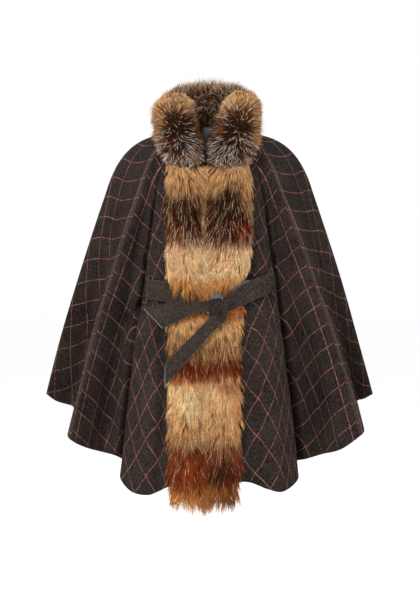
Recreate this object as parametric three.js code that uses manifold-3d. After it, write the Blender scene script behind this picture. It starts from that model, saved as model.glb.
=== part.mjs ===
// Wool cape with a fur collar, fur front bands and a tie belt, filled out as it is worn.
// Millimetres, +Z up, the front faces -Y. The origin lies midway between the two shoulder points.
import * as THREE from 'three';
import { mergeVertices } from 'three/addons/utils/BufferGeometryUtils.js';
import Module from 'manifold-3d';

const wasm = await Module();
wasm.setup();

// Driving dimensions
const CLOTH = 2.6;               // thickness of the wool wall
const SEAM_GAP = 0.3;            // space kept between two pieces that are sewn together
const CLOSING_X = -11;           // the fronts meet a little to one side of the middle
const NECK = { halfWidth: 80, halfDepth: 80, centreY: 5, frontZ: -40, sideZ: 57, backZ: 50 };
const SHOULDER_ROLL = { up: 0.5, down: 118 };   // rounding: share of the shoulder, length of the fall
const WAIST = { z: -362, reach: 84 };           // height and reach of the belt's pull on the fronts
const RINGS = { yoke: 2, roll: 7, fall: 14 };   // grid rows: neck to roll, the roll, roll to hem
const HEM_ROW = RINGS.yoke + RINGS.roll + RINGS.fall;
const WALL = { lift: CLOTH / 2, sink: CLOTH / 2 };
const FRONT_COLUMNS = 30;
const BACK_COLUMNS = 32;

// Ribs are the lines of the cloth from neck to hem, from the front edge round to the centre back.
// turn: place on the neck, in degrees from the front; corner: where the shoulder would turn sharply;
// left and right: where the rib meets the hem on each half; out is the distance to the side;
// belly: bulge between corner and hem; pull: how far the belt draws the cloth in;
// shift: share of CLOSING_X.
const RIBS = [
  { name: 'edge', turn: 2, corner: [3, -125, -75], left: [3, -222, -852], right: [3, -222, -852],
    belly: 0, pull: 34, shift: 1 },
  { name: 'under_fur', turn: 20, corner: [45, -126, -72], left: [55, -226, -850],
    right: [50, -226, -846], belly: 0, pull: 34, shift: 0.5 },
  { name: 'fur_edge', turn: 32, corner: [78, -124, -66], left: [100, -228, -848],
    right: [80, -222, -836], belly: 0, pull: 36, shift: 0.2 },
  { name: 'front_dip', turn: 40, corner: [92, -121, -61], left: [122, -221, -858],
    right: [104, -210, -840], belly: 0, pull: 36, shift: 0 },
  { name: 'front_roll', turn: 46, corner: [104, -118, -56], left: [150, -225, -868],
    right: [140, -222, -853], belly: 3, pull: 35, shift: 0 },
  { name: 'front_bulge', turn: 51, corner: [114, -113, -51], left: [190, -203, -863],
    right: [180, -208, -862], belly: 4, pull: 30, shift: 0 },
  { name: 'bulge_side', turn: 55, corner: [122, -108, -46], left: [223, -150, -831],
    right: [223, -150, -835], belly: 4, pull: 22, shift: 0 },
  { name: 'deep_valley', turn: 58, corner: [126, -103, -42], left: [212, -30, -809],
    right: [212, -25, -808], belly: 0, pull: 10, shift: 0 },
  { name: 'soft_ridge', turn: 61, corner: [131, -102, -37], left: [239, -64, -788],
    right: [246, -66, -796], belly: 5, pull: 6, shift: 0 },
  { name: 'inner_valley', turn: 64, corner: [136, -97, -30], left: [274, -25, -783],
    right: [290, -30, -787], belly: 6, pull: 3, shift: 0 },
  { name: 'ridge_front', turn: 67, corner: [140, -95, -20], left: [319, -64, -766],
    right: [336, -76, -770], belly: 10, pull: 0, shift: 0 },
  { name: 'seam_ridge', turn: 70, corner: [143, -90, -8], left: [353, -94, -744],
    right: [381, -98, -735], belly: 13, pull: 0, shift: 0 },
  { name: 'ridge_side', turn: 74, corner: [152, -84, 0], left: [361, -68, -730],
    right: [394, -72, -722], belly: 12, pull: 0, shift: 0 },
  { name: 'side_fold', turn: 80, corner: [174, -66, 6], left: [352, 10, -694],
    right: [388, 5, -688], belly: 8, pull: 0, shift: 0 },
  { name: 'side_valley', turn: 88, corner: [198, -40, 10], left: [360, 76, -672],
    right: [392, 74, -656], belly: 5, pull: 0, shift: 0 },
  { name: 'side_face', turn: 96, corner: [218, -14, 11], left: [405, 62, -656],
    right: [408, 60, -650], belly: 6, pull: 0, shift: 0 },
  { name: 'corner_ridge', turn: 104, corner: [233, 12, 10], left: [428, 48, -637],
    right: [428, 48, -637], belly: 7, pull: 0, shift: 0 },
  { name: 'corner_back', turn: 112, corner: [226, 40, 8], left: [420, 102, -642],
    right: [420, 102, -642], belly: 6, pull: 0, shift: 0 },
  { name: 'back_side', turn: 120, corner: [205, 64, 7], left: [372, 150, -664],
    right: [372, 152, -664], belly: 5, pull: 0, shift: 0 },
  { name: 'back_valley_1', turn: 129, corner: [178, 82, 4], left: [312, 160, -694],
    right: [306, 158, -690], belly: 3, pull: 0, shift: 0 },
  { name: 'back_ridge_1', turn: 138, corner: [150, 98, 0], left: [252, 238, -728],
    right: [246, 234, -724], belly: 6, pull: 0, shift: 0 },
  { name: 'back_valley_2', turn: 148, corner: [118, 108, -5], left: [190, 204, -768],
    right: [184, 202, -764], belly: 3, pull: 0, shift: 0 },
  { name: 'back_ridge_2', turn: 158, corner: [82, 118, -9], left: [124, 274, -800],
    right: [120, 272, -800], belly: 6, pull: 0, shift: 0 },
  { name: 'back_valley_3', turn: 169, corner: [42, 124, -12], left: [60, 238, -822],
    right: [58, 238, -822], belly: 3, pull: 0, shift: 0 },
  { name: 'centre_back', turn: 180, corner: [0, 128, -14], left: [0, 268, -832],
    right: [0, 268, -832], belly: 6, pull: 0, shift: 0 },
];

// Belt slits: the rib before each, the share of the way to the next rib, centre height and sizes
const SLIT = { width: 9, height: 64, depth: 60 };
const SLITS = {
  left: { rib: 'front_bulge', share: 0.33, z: -362 },
  right: { rib: 'front_bulge', share: 0.85, z: -342 },
};

// Fur bands: width from the closing line and thickness, by height
const FUR_LIFT = CLOTH / 2 + SEAM_GAP;
const FUR_TOP_Z = -68;
const FUR_END_DROP = 62;         // the hair hangs this far below the hem
const FUR_ACROSS = 6;
const FUR_END_STEPS = 3;
const FACET_ROOM = 1.0;          // spare room for the flats of the panel behind
const FUR_ROWS = [
  { z: -60, left: 90, right: 108, thick: 32 },
  { z: -130, left: 96, right: 117, thick: 40 },
  { z: -300, left: 97, right: 117, thick: 42 },
  { z: -400, left: 90, right: 90, thick: 36 },
  { z: -600, left: 90, right: 86, thick: 42 },
  { z: -800, left: 88, right: 84, thick: 42 },
  { z: -920, left: 84, right: 76, thick: 30 },
];
// The belt presses the hair flat along a line from the closing line to the edge of each band
const BELT_DENT = { closingZ: -402, edgeZ: { left: -374, right: -358 }, edgeOut: 90, reach: 46,
  depth: 0.68 };
const BELT_ZONE = 110;           // heights this near the belt get closer stations
const KNOT_DENT = { x: 22, z: -417, reach: 48, depth: 0.74 };

// Fur collar, its standing ring: stations round the neck, in degrees from the front; radius is that of
// the middle of the roll; high is its top; thick is its thickness. Its bottom lies on the cloth.
const COLLAR_ROWS = [
  { turn: 60, radius: 104, high: 150, thick: 60 },
  { turn: 100, radius: 105, high: 168, thick: 62 },
  { turn: 140, radius: 106, high: 184, thick: 60 },
  { turn: 180, radius: 104, high: 188, thick: 58 },
];
const COLLAR_RING = { from: 68, stations: 18, points: 14 };
const COLLAR_LIFT = CLOTH / 2 + SEAM_GAP + 2;   // with spare room for the flats of the yoke below
// The two rolled fronts of the collar: level sections from bottom to top, with the middle of each
// and its half width and half depth
const COLLAR_FRONTS = {
  left: [
    { z: -56, x: -63, y: -128, wide: 14, deep: 8 }, { z: -49, x: -63, y: -126, wide: 40, deep: 20 },
    { z: -34, x: -67, y: -120, wide: 52, deep: 28 }, { z: -10, x: -72, y: -112, wide: 59, deep: 38 },
    { z: 16, x: -78, y: -102, wide: 65, deep: 46 }, { z: 42, x: -84, y: -90, wide: 61, deep: 50 },
    { z: 90, x: -91, y: -76, wide: 55, deep: 50 }, { z: 112, x: -91, y: -72, wide: 49, deep: 44 },
    { z: 126, x: -89, y: -70, wide: 38, deep: 32 }, { z: 133, x: -88, y: -70, wide: 16, deep: 12 },
  ],
  right: [
    { z: -58, x: 52, y: -128, wide: 14, deep: 8 }, { z: -50, x: 52, y: -126, wide: 46, deep: 20 },
    { z: -34, x: 53, y: -120, wide: 59, deep: 28 }, { z: -10, x: 57, y: -112, wide: 63, deep: 38 },
    { z: 16, x: 62, y: -102, wide: 67, deep: 46 }, { z: 42, x: 67, y: -90, wide: 64, deep: 50 },
    { z: 90, x: 78, y: -76, wide: 55, deep: 50 }, { z: 114, x: 83, y: -72, wide: 46, deep: 44 },
    { z: 132, x: 84, y: -70, wide: 34, deep: 32 }, { z: 140, x: 84, y: -70, wide: 14, deep: 12 },
  ],
};
const COLLAR_FRONT = { points: 18, squareness: 2.4, yokeRows: 14, yokeColumns: 44, yokeSink: 16 };

// Belt: each stretch is a strip between an upper and a lower edge, from its first end to its last.
// A row is x, z and the lift in front of the cloth. A stretch with a slit comes out through it.
const BELT_THICK = 3;
const BELT_WIDTH = 50;
const SLIT_PASS = { inside: -6, outside: 5 };
const BELT_STRETCHES = {
  belt_left: {
    slit: 'left', steps: 22,
    upper: [[-148, -338, 7], [-128, -340, 8], [-113, -343, 15], [-98, -347, 22],
      [-60, -356, 22], [-20, -370, 21], [21, -386, 21]],
    lower: [[-148, -388, 7], [-128, -390, 8], [-113, -394, 15], [-98, -397, 22],
      [-60, -406, 23], [-20, -414, 21], [21, -420, 20]],
  },
  belt_right: {
    slit: 'right', steps: 22,
    upper: [[154, -321, 7], [138, -327, 8], [122, -333, 15], [104, -340, 23],
      [86, -350, 23], [60, -366, 21], [23, -388, 21]],
    lower: [[154, -370, 7], [138, -378, 8], [120, -386, 15], [102, -393, 22],
      [84, -402, 24], [58, -413, 25], [23, -424, 20]],
  },
  belt_tail_side: {
    steps: 14,
    upper: [[20, -404, 42], [-10, -396, 35], [-48, -392, 32], [-103, -397, 32], [-165, -412, 31]],
    lower: [[20, -426, 38], [-10, -418, 38], [-34, -420, 38], [-61, -434, 49], [-117, -460, 38]],
  },
  belt_tail_down: {
    steps: 14,
    upper: [[14, -412, 40], [8, -424, 43], [-36, -471, 48], [-73, -508, 49], [-108, -545, 44]],
    lower: [[28, -428, 38], [31, -444, 42], [4, -472, 49], [-36, -518, 52], [-110, -600, 52]],
  },
};
// The stretch behind the fronts, round the waist
const WAIST_LOOP = [[-146, -84, -361], [-146, -40, -360], [-143, 10, -358], [-118, 64, -355],
  [-62, 98, -353], [0, 106, -352], [62, 98, -351], [118, 64, -349], [143, 10, -346],
  [147, -40, -344], [151, -80, -343]];
const KNOT = { centre: [22, -417], lift: 37.5, half: [23, 16, 33], across: 14, around: 10 };

// Facing that shows in the gap of the collar: a standing strip from one turn to another
const FACING_STRIP = { from: -14, to: 22, radius: 69.4, bottom: -38, top: 48, steps: 8 };

const WOOL = new THREE.MeshStandardMaterial({ color: 0x322c2a, roughness: 0.92, metalness: 0 });
const FUR = new THREE.MeshStandardMaterial({ color: 0x9a6f48, roughness: 0.85, metalness: 0 });
const BELT_WOOL = new THREE.MeshStandardMaterial({ color: 0x2e2926, roughness: 0.88, metalness: 0 });
const FACING = new THREE.MeshStandardMaterial({ color: 0x3c4148, roughness: 0.7, metalness: 0 });

const lerp = (a, b, f) => a + (b - a) * f;
const smooth = (f) => f * f * (3 - 2 * f);
const radians = (degrees) => degrees * Math.PI / 180;

// A point on the neck seam, as distance out, depth and height
function neckPoint(turn) {
  const angle = radians(turn);
  const rise = turn < 90 ? smooth(turn / 90) : 1;
  const back = turn < 90 ? 0 : smooth((turn - 90) / 90);
  return new THREE.Vector3(
    NECK.halfWidth * Math.sin(angle),
    NECK.centreY - NECK.halfDepth * Math.cos(angle),
    lerp(lerp(NECK.frontZ, NECK.sideZ, rise), NECK.backZ, back));
}

// A point on one rib; row runs over the grid rows and may pass the hem, where the rib falls plumb
function ribPoint(rib, side, row) {
  const neck = neckPoint(rib.turn);
  const corner = new THREE.Vector3(...rib.corner);
  const hem = new THREE.Vector3(...rib[side]);
  const before = neck.clone().lerp(corner, 1 - SHOULDER_ROLL.up);
  const fall = corner.distanceTo(hem);
  const after = corner.clone().lerp(hem, SHOULDER_ROLL.down / fall);
  const rollEnd = RINGS.yoke + RINGS.roll;
  const point = new THREE.Vector3();
  if (row <= RINGS.yoke) {
    point.lerpVectors(neck, before, row / RINGS.yoke);
  } else if (row <= rollEnd) {
    const f = (row - RINGS.yoke) / RINGS.roll;
    point.lerpVectors(before.clone().lerp(corner, f), corner.clone().lerp(after, f), f);
  } else {
    const f = Math.min(1, (row - rollEnd) / RINGS.fall);
    point.lerpVectors(after, hem, f);
    const beyond = Math.max(0, row - rollEnd - RINGS.fall);
    point.z -= beyond * FUR_END_DROP;
    const bulge = rib.belly * Math.sin(Math.PI * f);
    const outward = Math.hypot(point.x, point.y);
    point.x += bulge * point.x / outward;
    point.y += bulge * point.y / outward;
  }
  point.y += rib.pull * Math.exp(-(((point.z - WAIST.z) / WAIST.reach) ** 2));
  const sign = side === 'left' ? -1 : 1;
  return new THREE.Vector3(sign * point.x + rib.shift * CLOSING_X, point.y, point.z);
}

// Knots: the distance along the hem to each rib
function hemKnots(side) {
  const knots = [0];
  for (let i = 1; i < RIBS.length; i += 1) {
    const a = new THREE.Vector3(...RIBS[i - 1][side]);
    const b = new THREE.Vector3(...RIBS[i][side]);
    knots.push(knots[i - 1] + a.distanceTo(b));
  }
  return knots;
}

const KNOTS = { left: hemKnots('left'), right: hemKnots('right') };
const knotOf = (side, name) => KNOTS[side][RIBS.findIndex((rib) => rib.name === name)];

// The middle of the cloth at distance u along the hem and grid row: a cubic through the ribs
function clothPoint(side, u, row) {
  const knots = KNOTS[side];
  const last = knots.length - 1;
  let i = 0;
  while (i < last - 1 && u > knots[i + 1]) i += 1;
  const at = (k) => {
    if (k > last) {
      const mirror = ribPoint(RIBS[last - 1], side, row);
      mirror.x = -mirror.x;
      return mirror;
    }
    return ribPoint(RIBS[Math.max(0, k)], side, row);
  };
  const knot = (k) => {
    if (k < 0) return knots[0] - (knots[1] - knots[0]);
    return k > last ? 2 * knots[last] - knots[last - 1] : knots[k];
  };
  const span = knots[i + 1] - knots[i];
  const p1 = at(i);
  const p2 = at(i + 1);
  const slope = (a, b, ka, kb) => b.clone().sub(a).multiplyScalar(span / (knot(kb) - knot(ka)));
  const m1 = i === 0 ? slope(p1, p2, i, i + 1) : slope(at(i - 1), p2, i - 1, i + 1);
  const m2 = slope(p1, at(i + 2), i, i + 2);
  const f = (u - knots[i]) / span;
  const f2 = f * f;
  const f3 = f2 * f;
  return p1.multiplyScalar(2 * f3 - 3 * f2 + 1)
    .addScaledVector(m1, f3 - 2 * f2 + f)
    .addScaledVector(p2, 3 * f2 - 2 * f3)
    .addScaledVector(m2, f3 - f2);
}

// The outward direction of the cloth
function clothNormal(side, u, row) {
  const step = 0.5;
  const total = KNOTS[side][KNOTS[side].length - 1];
  const across = clothPoint(side, Math.min(total, u + step), row)
    .sub(clothPoint(side, Math.max(0, u - step), row));
  const down = clothPoint(side, u, Math.min(HEM_ROW, row + 0.1))
    .sub(clothPoint(side, u, Math.max(0, row - 0.1)));
  const normal = across.cross(down).normalize();
  return side === 'left' ? normal : normal.negate();
}

// Triangles of a closed solid from a grid of inner and outer points
function wallGeometry(outer, inner, flip) {
  const rows = outer.length;
  const columns = outer[0].length;
  const positions = [];
  [outer, inner].forEach((grid) => grid.forEach((line) => line.forEach((p) => {
    positions.push(p.x, p.y, p.z);
  })));
  const at = (layer, r, c) => layer * rows * columns + r * columns + c;
  const index = [];
  const quad = (a, b, c, d) => {
    if (flip) index.push(a, c, b, a, d, c);
    else index.push(a, b, c, a, c, d);
  };
  for (let r = 0; r < rows - 1; r += 1) {
    for (let c = 0; c < columns - 1; c += 1) {
      quad(at(0, r, c), at(0, r + 1, c), at(0, r + 1, c + 1), at(0, r, c + 1));
      quad(at(1, r, c), at(1, r, c + 1), at(1, r + 1, c + 1), at(1, r + 1, c));
    }
  }
  for (let c = 0; c < columns - 1; c += 1) {
    quad(at(0, 0, c), at(0, 0, c + 1), at(1, 0, c + 1), at(1, 0, c));
    quad(at(0, rows - 1, c), at(1, rows - 1, c), at(1, rows - 1, c + 1), at(0, rows - 1, c + 1));
  }
  for (let r = 0; r < rows - 1; r += 1) {
    quad(at(0, r, 0), at(1, r, 0), at(1, r + 1, 0), at(0, r + 1, 0));
    quad(at(0, r, columns - 1), at(0, r + 1, columns - 1), at(1, r + 1, columns - 1),
      at(1, r, columns - 1));
  }
  return indexed(positions, index);
}

function indexed(positions, index) {
  const geometry = new THREE.BufferGeometry();
  geometry.setAttribute('position', new THREE.Float32BufferAttribute(positions, 3));
  geometry.setIndex(index);
  geometry.computeVertexNormals();
  return geometry;
}

// One cloth panel between two distances along the hem, as thick as the cloth unless told otherwise
function panelGeometry(side, from, to, columns, rows = HEM_ROW, wall = WALL) {
  const outer = [];
  const inner = [];
  for (let r = 0; r <= rows; r += 1) {
    const outerLine = [];
    const innerLine = [];
    for (let c = 0; c <= columns; c += 1) {
      const u = lerp(from, to, c / columns);
      const point = clothPoint(side, u, r);
      const normal = clothNormal(side, u, r);
      outerLine.push(point.clone().addScaledVector(normal, wall.lift));
      innerLine.push(point.clone().addScaledVector(normal, -wall.sink));
    }
    outer.push(outerLine);
    inner.push(innerLine);
  }
  // The seam edges stand back by half the seam gap
  [outer, inner].forEach((grid) => grid.forEach((line) => {
    trim(line[0], line[1]);
    trim(line[columns], line[columns - 1]);
  }));
  return wallGeometry(outer, inner, side === 'left');
}

function trim(edge, next) {
  edge.addScaledVector(next.clone().sub(edge).normalize(), SEAM_GAP / 2);
}

// Boolean cut of one closed geometry by another
function toManifold(geometry) {
  const bare = geometry.index ? geometry.toNonIndexed() : geometry.clone();
  bare.deleteAttribute('normal');
  bare.deleteAttribute('uv');
  const merged = mergeVertices(bare, 1e-4);
  return new wasm.Manifold(new wasm.Mesh({
    numProp: 3,
    vertProperties: new Float32Array(merged.attributes.position.array),
    triVerts: new Uint32Array(merged.index.array),
  }));
}

function subtract(geometry, tool) {
  const mesh = toManifold(geometry).subtract(toManifold(tool)).getMesh();
  return indexed(Array.from(mesh.vertProperties), Array.from(mesh.triVerts));
}

// The grid row at which the cloth reaches a height
function rowAtHeight(side, u, z) {
  let low = RINGS.yoke;
  let high = HEM_ROW + 1;
  for (let i = 0; i < 40; i += 1) {
    const middle = (low + high) / 2;
    if (clothPoint(side, u, middle).z > z) low = middle;
    else high = middle;
  }
  return (low + high) / 2;
}

function slitPlace(side) {
  const slit = SLITS[side];
  const i = RIBS.findIndex((rib) => rib.name === slit.rib);
  const u = lerp(KNOTS[side][i], KNOTS[side][i + 1], slit.share);
  const row = rowAtHeight(side, u, slit.z);
  const top = clothPoint(side, u, rowAtHeight(side, u, slit.z + SLIT.height / 2));
  const bottom = clothPoint(side, u, rowAtHeight(side, u, slit.z - SLIT.height / 2));
  const up = top.clone().sub(bottom).normalize();
  const normal = clothNormal(side, u, row);
  const across = up.clone().cross(normal).normalize();
  return { point: clothPoint(side, u, row), up, normal, across };
}

function slitTool(side) {
  const place = slitPlace(side);
  const tool = new THREE.BoxGeometry(SLIT.width, SLIT.height, SLIT.depth);
  const frame = new THREE.Matrix4().makeBasis(place.across, place.up,
    place.across.clone().cross(place.up));
  frame.setPosition(place.point);
  return tool.applyMatrix4(frame);
}

// A closed solid from a stack of closed rings, each end closed by a fan
function loftGeometry(rings) {
  const count = rings[0].length;
  const positions = [];
  rings.forEach((ring) => ring.forEach((p) => positions.push(p.x, p.y, p.z)));
  const index = [];
  for (let r = 0; r < rings.length - 1; r += 1) {
    for (let k = 0; k < count; k += 1) {
      const next = (k + 1) % count;
      const a = r * count + k;
      const b = r * count + next;
      const c = (r + 1) * count + next;
      const d = (r + 1) * count + k;
      index.push(a, b, c, a, c, d);
    }
  }
  const ends = [[rings[0], 0, true], [rings[rings.length - 1], (rings.length - 1) * count, false]];
  ends.forEach(([ring, start, first]) => {
    const centre = ring.reduce((sum, p) => sum.add(p), new THREE.Vector3()).divideScalar(count);
    const hub = positions.length / 3;
    positions.push(centre.x, centre.y, centre.z);
    for (let k = 0; k < count; k += 1) {
      const a = start + k;
      const b = start + (k + 1) % count;
      if (first) index.push(hub, b, a);
      else index.push(hub, a, b);
    }
  });
  return outwardFacing(indexed(positions, index));
}

// Turns a closed geometry inside out where its volume comes out negative
function outwardFacing(geometry) {
  const p = geometry.attributes.position;
  const index = geometry.index.array;
  const a = new THREE.Vector3();
  const b = new THREE.Vector3();
  const c = new THREE.Vector3();
  let volume = 0;
  for (let i = 0; i < index.length; i += 3) {
    a.fromBufferAttribute(p, index[i]);
    b.fromBufferAttribute(p, index[i + 1]);
    c.fromBufferAttribute(p, index[i + 2]);
    volume += a.dot(b.cross(c));
  }
  if (volume > 0) return geometry;
  const turned = [];
  for (let i = 0; i < index.length; i += 3) turned.push(index[i], index[i + 2], index[i + 1]);
  geometry.setIndex(turned);
  geometry.computeVertexNormals();
  return geometry;
}

// A value from a table whose rows are in order of one column, eased between rows
function tableValue(rows, key, at, column) {
  const order = rows[1][key] > rows[0][key] ? 1 : -1;
  let i = 0;
  while (i < rows.length - 2 && (at - rows[i + 1][key]) * order > 0) i += 1;
  const f = (at - rows[i][key]) / (rows[i + 1][key] - rows[i][key]);
  return lerp(rows[i][column], rows[i + 1][column], smooth(Math.min(1, Math.max(0, f))));
}

// Distance along the hem at which a grid row lies a given way out from the closing line
function uAtWidth(side, row, width) {
  let low = 0;
  let high = knotOf(side, 'bulge_side');
  for (let i = 0; i < 40; i += 1) {
    const middle = (low + high) / 2;
    const x = clothPoint(side, middle, row).x;
    if (Math.abs(x - CLOSING_X) < width) low = middle;
    else high = middle;
  }
  return (low + high) / 2;
}

// A point on the flats between two grid rows of the panel
function facetPoint(side, u, row) {
  const above = Math.floor(row);
  return clothPoint(side, u, above).lerp(clothPoint(side, u, above + 1), row - above);
}

// Depth of the cloth behind a place on the front, given by x and z
function frontDepth(x, z) {
  const side = x < CLOSING_X ? 'left' : 'right';
  let row = RINGS.yoke + RINGS.roll;
  let u = 0;
  for (let i = 0; i < 6; i += 1) {
    u = uAtWidth(side, row, Math.abs(x - CLOSING_X));
    row = rowAtHeight(side, u, z);
  }
  return facetPoint(side, u, row).y;
}

// Share of the hair's thickness that the belt presses away
function beltDent(side, x, z) {
  const f = Math.abs(x - CLOSING_X) / BELT_DENT.edgeOut;
  const beltZ = lerp(BELT_DENT.closingZ, BELT_DENT.edgeZ[side], f);
  const belt = BELT_DENT.depth * Math.exp(-(((z - beltZ) / BELT_DENT.reach) ** 4));
  const fromKnot = Math.hypot(x - KNOT_DENT.x, z - KNOT_DENT.z) / KNOT_DENT.reach;
  return Math.max(belt, KNOT_DENT.depth * Math.exp(-(fromKnot ** 4)));
}

// A fur band: its back follows the front panel, moved out, and its face is a rounded cushion of hair
function furBandGeometry(side) {
  const startRow = rowAtHeight(side, 0, FUR_TOP_Z);
  const sign = side === 'left' ? -1 : 1;
  const stations = [startRow];
  for (let row = Math.ceil(startRow); row < HEM_ROW; row += 1) {
    stations.push(row);
    const z = clothPoint(side, 0, row).z;
    if (Math.abs(z - BELT_DENT.closingZ) < BELT_ZONE) stations.push(row + 1 / 3, row + 2 / 3);
  }
  stations.push(HEM_ROW);
  for (let s = 1; s <= FUR_END_STEPS; s += 1) stations.push(HEM_ROW + s / FUR_END_STEPS);
  const rings = [];
  stations.forEach((row) => {
    const z = clothPoint(side, 0, row).z;
    const width = tableValue(FUR_ROWS, 'z', z, side);
    const full = tableValue(FUR_ROWS, 'z', z, 'thick');
    const uEnd = uAtWidth(side, row, width);
    const back = [];
    const face = [];
    for (let k = 0; k <= FUR_ACROSS; k += 1) {
      const f = k / FUR_ACROSS;
      const u = lerp(0, uEnd, f);
      const point = facetPoint(side, u, row).addScaledVector(clothNormal(side, u, row), FUR_LIFT);
      if (k === 0) point.x = CLOSING_X + sign * SEAM_GAP / 2;
      point.y -= FACET_ROOM;
      const thick = full * (1 - beltDent(side, point.x, point.z));
      const round = Math.sqrt(Math.max(0, 1 - (2 * f - 1) ** 4));
      back.push(point);
      const front = point.clone();
      front.y -= 5 + (thick - 5) * round;
      face.push(front);
    }
    rings.push([...back, ...face.reverse()]);
  });
  return loftGeometry(rings);
}

// Height of the cloth's outer face below a point of the collar, or of the neck seam inside it
function yokeHeight(side, out, y) {
  const wanted = Math.atan2(out, NECK.centreY - y);
  const reach = Math.hypot(out, y - NECK.centreY);
  const total = KNOTS[side][KNOTS[side].length - 1];
  const sign = side === 'left' ? -1 : 1;
  const pointAt = (row) => {
    let low = 0;
    let high = total;
    for (let i = 0; i < 18; i += 1) {
      const middle = (low + high) / 2;
      const p = clothPoint(side, middle, row);
      if (Math.atan2(sign * p.x, NECK.centreY - p.y) < wanted) low = middle;
      else high = middle;
    }
    return clothPoint(side, low, row);
  };
  let near = 0;
  let far = RINGS.yoke + RINGS.roll;
  for (let i = 0; i < 14; i += 1) {
    const middle = (near + far) / 2;
    const p = pointAt(middle);
    if (Math.hypot(p.x, p.y - NECK.centreY) < reach) near = middle;
    else far = middle;
  }
  return pointAt(near).z;
}

// The standing ring of the fur collar, open at the front
function collarRingGeometry() {
  const { from, stations, points } = COLLAR_RING;
  const rings = [];
  for (let s = 0; s <= stations; s += 1) {
    const turn = lerp(from, 360 - from, s / stations);
    const place = Math.min(turn, 360 - turn);
    const radius = tableValue(COLLAR_ROWS, 'turn', place, 'radius');
    const high = tableValue(COLLAR_ROWS, 'turn', place, 'high');
    const thick = tableValue(COLLAR_ROWS, 'turn', place, 'thick');
    const ring = [];
    for (let k = 0; k < points; k += 1) {
      const angle = 2 * Math.PI * k / points;
      const level = (1 + Math.sin(angle)) / 2;
      const r = radius + Math.cos(angle) * thick / 2;
      const out = r * Math.sin(radians(turn));
      const y = NECK.centreY - r * Math.cos(radians(turn));
      const low = yokeHeight(out >= 0 ? 'left' : 'right', Math.abs(out), y) + COLLAR_LIFT;
      ring.push(new THREE.Vector3(-out, y, lerp(low, high, level)));
    }
    rings.push(ring);
  }
  return loftGeometry(rings);
}

// One rolled front of the collar; a margin makes it larger where it cuts room for itself
function collarFrontGeometry(side, margin) {
  const { points, squareness } = COLLAR_FRONT;
  const power = (value) => Math.sign(value) * Math.abs(value) ** (2 / squareness);
  const rows = COLLAR_FRONTS[side];
  const rings = rows.map((row, i) => {
    const end = i === 0 ? -margin : 0;
    const top = i === rows.length - 1 ? margin : 0;
    return Array.from({ length: points }, (_, k) => {
      const angle = 2 * Math.PI * k / points;
      return new THREE.Vector3(row.x + (row.wide + margin) * power(Math.cos(angle)),
        row.y + (row.deep + margin) * power(Math.sin(angle)), row.z + end + top);
    });
  });
  return loftGeometry(rings);
}

// The space of the yoke and what lies close under it, kept free of the collar
function yokeRoom(side) {
  const rim = { lift: CLOTH / 2 + SEAM_GAP + 0.4, sink: COLLAR_FRONT.yokeSink };
  const total = knotOf(side, 'centre_back');
  return panelGeometry(side, 0, total, COLLAR_FRONT.yokeColumns, COLLAR_FRONT.yokeRows, rim);
}

// Cardinal spline through rows of points, sampled evenly
function alongSpline(points, steps) {
  const curve = new THREE.CatmullRomCurve3(points.map((p) => new THREE.Vector3(...p)), false,
    'centripetal');
  return Array.from({ length: steps + 1 }, (_, i) => curve.getPoint(i / steps));
}

// A flat strip between an upper and a lower edge, as thick as the belt
function stripGeometry(upper, lower, steps) {
  const top = alongSpline(upper, steps);
  const bottom = alongSpline(lower, steps);
  const across = 2;
  const outer = [];
  const inner = [];
  for (let s = 0; s <= steps; s += 1) {
    const before = Math.max(0, s - 1);
    const after = Math.min(steps, s + 1);
    const along = top[after].clone().sub(top[before]).add(bottom[after].clone().sub(bottom[before]));
    const width = bottom[s].clone().sub(top[s]);
    const normal = along.cross(width).normalize();
    const outerLine = [];
    const innerLine = [];
    for (let k = 0; k <= across; k += 1) {
      const p = top[s].clone().lerp(bottom[s], k / across);
      outerLine.push(p.clone().addScaledVector(normal, BELT_THICK / 2));
      innerLine.push(p.clone().addScaledVector(normal, -BELT_THICK / 2));
    }
    outer.push(outerLine);
    inner.push(innerLine);
  }
  return outwardFacing(wallGeometry(outer, inner, false));
}

// One stretch of the belt, led through its slit where it has one
function beltStretchGeometry(stretch) {
  const placed = (rows) => rows.map(([x, z, lift]) => [x, frontDepth(x, z) - lift, z]);
  const upper = placed(stretch.upper);
  const lower = placed(stretch.lower);
  if (stretch.slit) {
    const place = slitPlace(stretch.slit);
    [SLIT_PASS.outside, SLIT_PASS.inside].forEach((depth) => {
      const middle = place.point.clone().addScaledVector(place.normal, depth);
      const half = place.up.clone().multiplyScalar(BELT_WIDTH / 2);
      upper.unshift(middle.clone().add(half).toArray());
      lower.unshift(middle.clone().sub(half).toArray());
    });
  }
  return stripGeometry(upper, lower, stretch.steps);
}

// The belt's loop behind the fronts, from just inside one slit to just inside the other
function waistLoopGeometry() {
  const edge = (half) => {
    const ends = ['left', 'right'].map((side) => {
      const place = slitPlace(side);
      return [SLIT_PASS.inside - SEAM_GAP, SLIT_PASS.inside - 9].map((depth) => (
        place.point.clone().addScaledVector(place.normal, depth)
          .addScaledVector(place.up, half).toArray()));
    });
    const round = WAIST_LOOP.map(([x, y, z]) => [x, y, z + half]);
    return [...ends[0], ...round, ends[1][1], ends[1][0]];
  };
  return stripGeometry(edge(BELT_WIDTH / 2), edge(-BELT_WIDTH / 2), 30);
}

// The knot: a rounded lump, made larger by a margin where it is used to cut room for itself
function knotGeometry(margin) {
  const knot = new THREE.SphereGeometry(1, KNOT.across, KNOT.around);
  knot.rotateX(Math.PI / 2);
  knot.scale(...KNOT.half.map((half) => half + margin));
  const [x, z] = KNOT.centre;
  knot.translate(x, frontDepth(x, z) - KNOT.lift, z);
  return knot;
}

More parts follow.
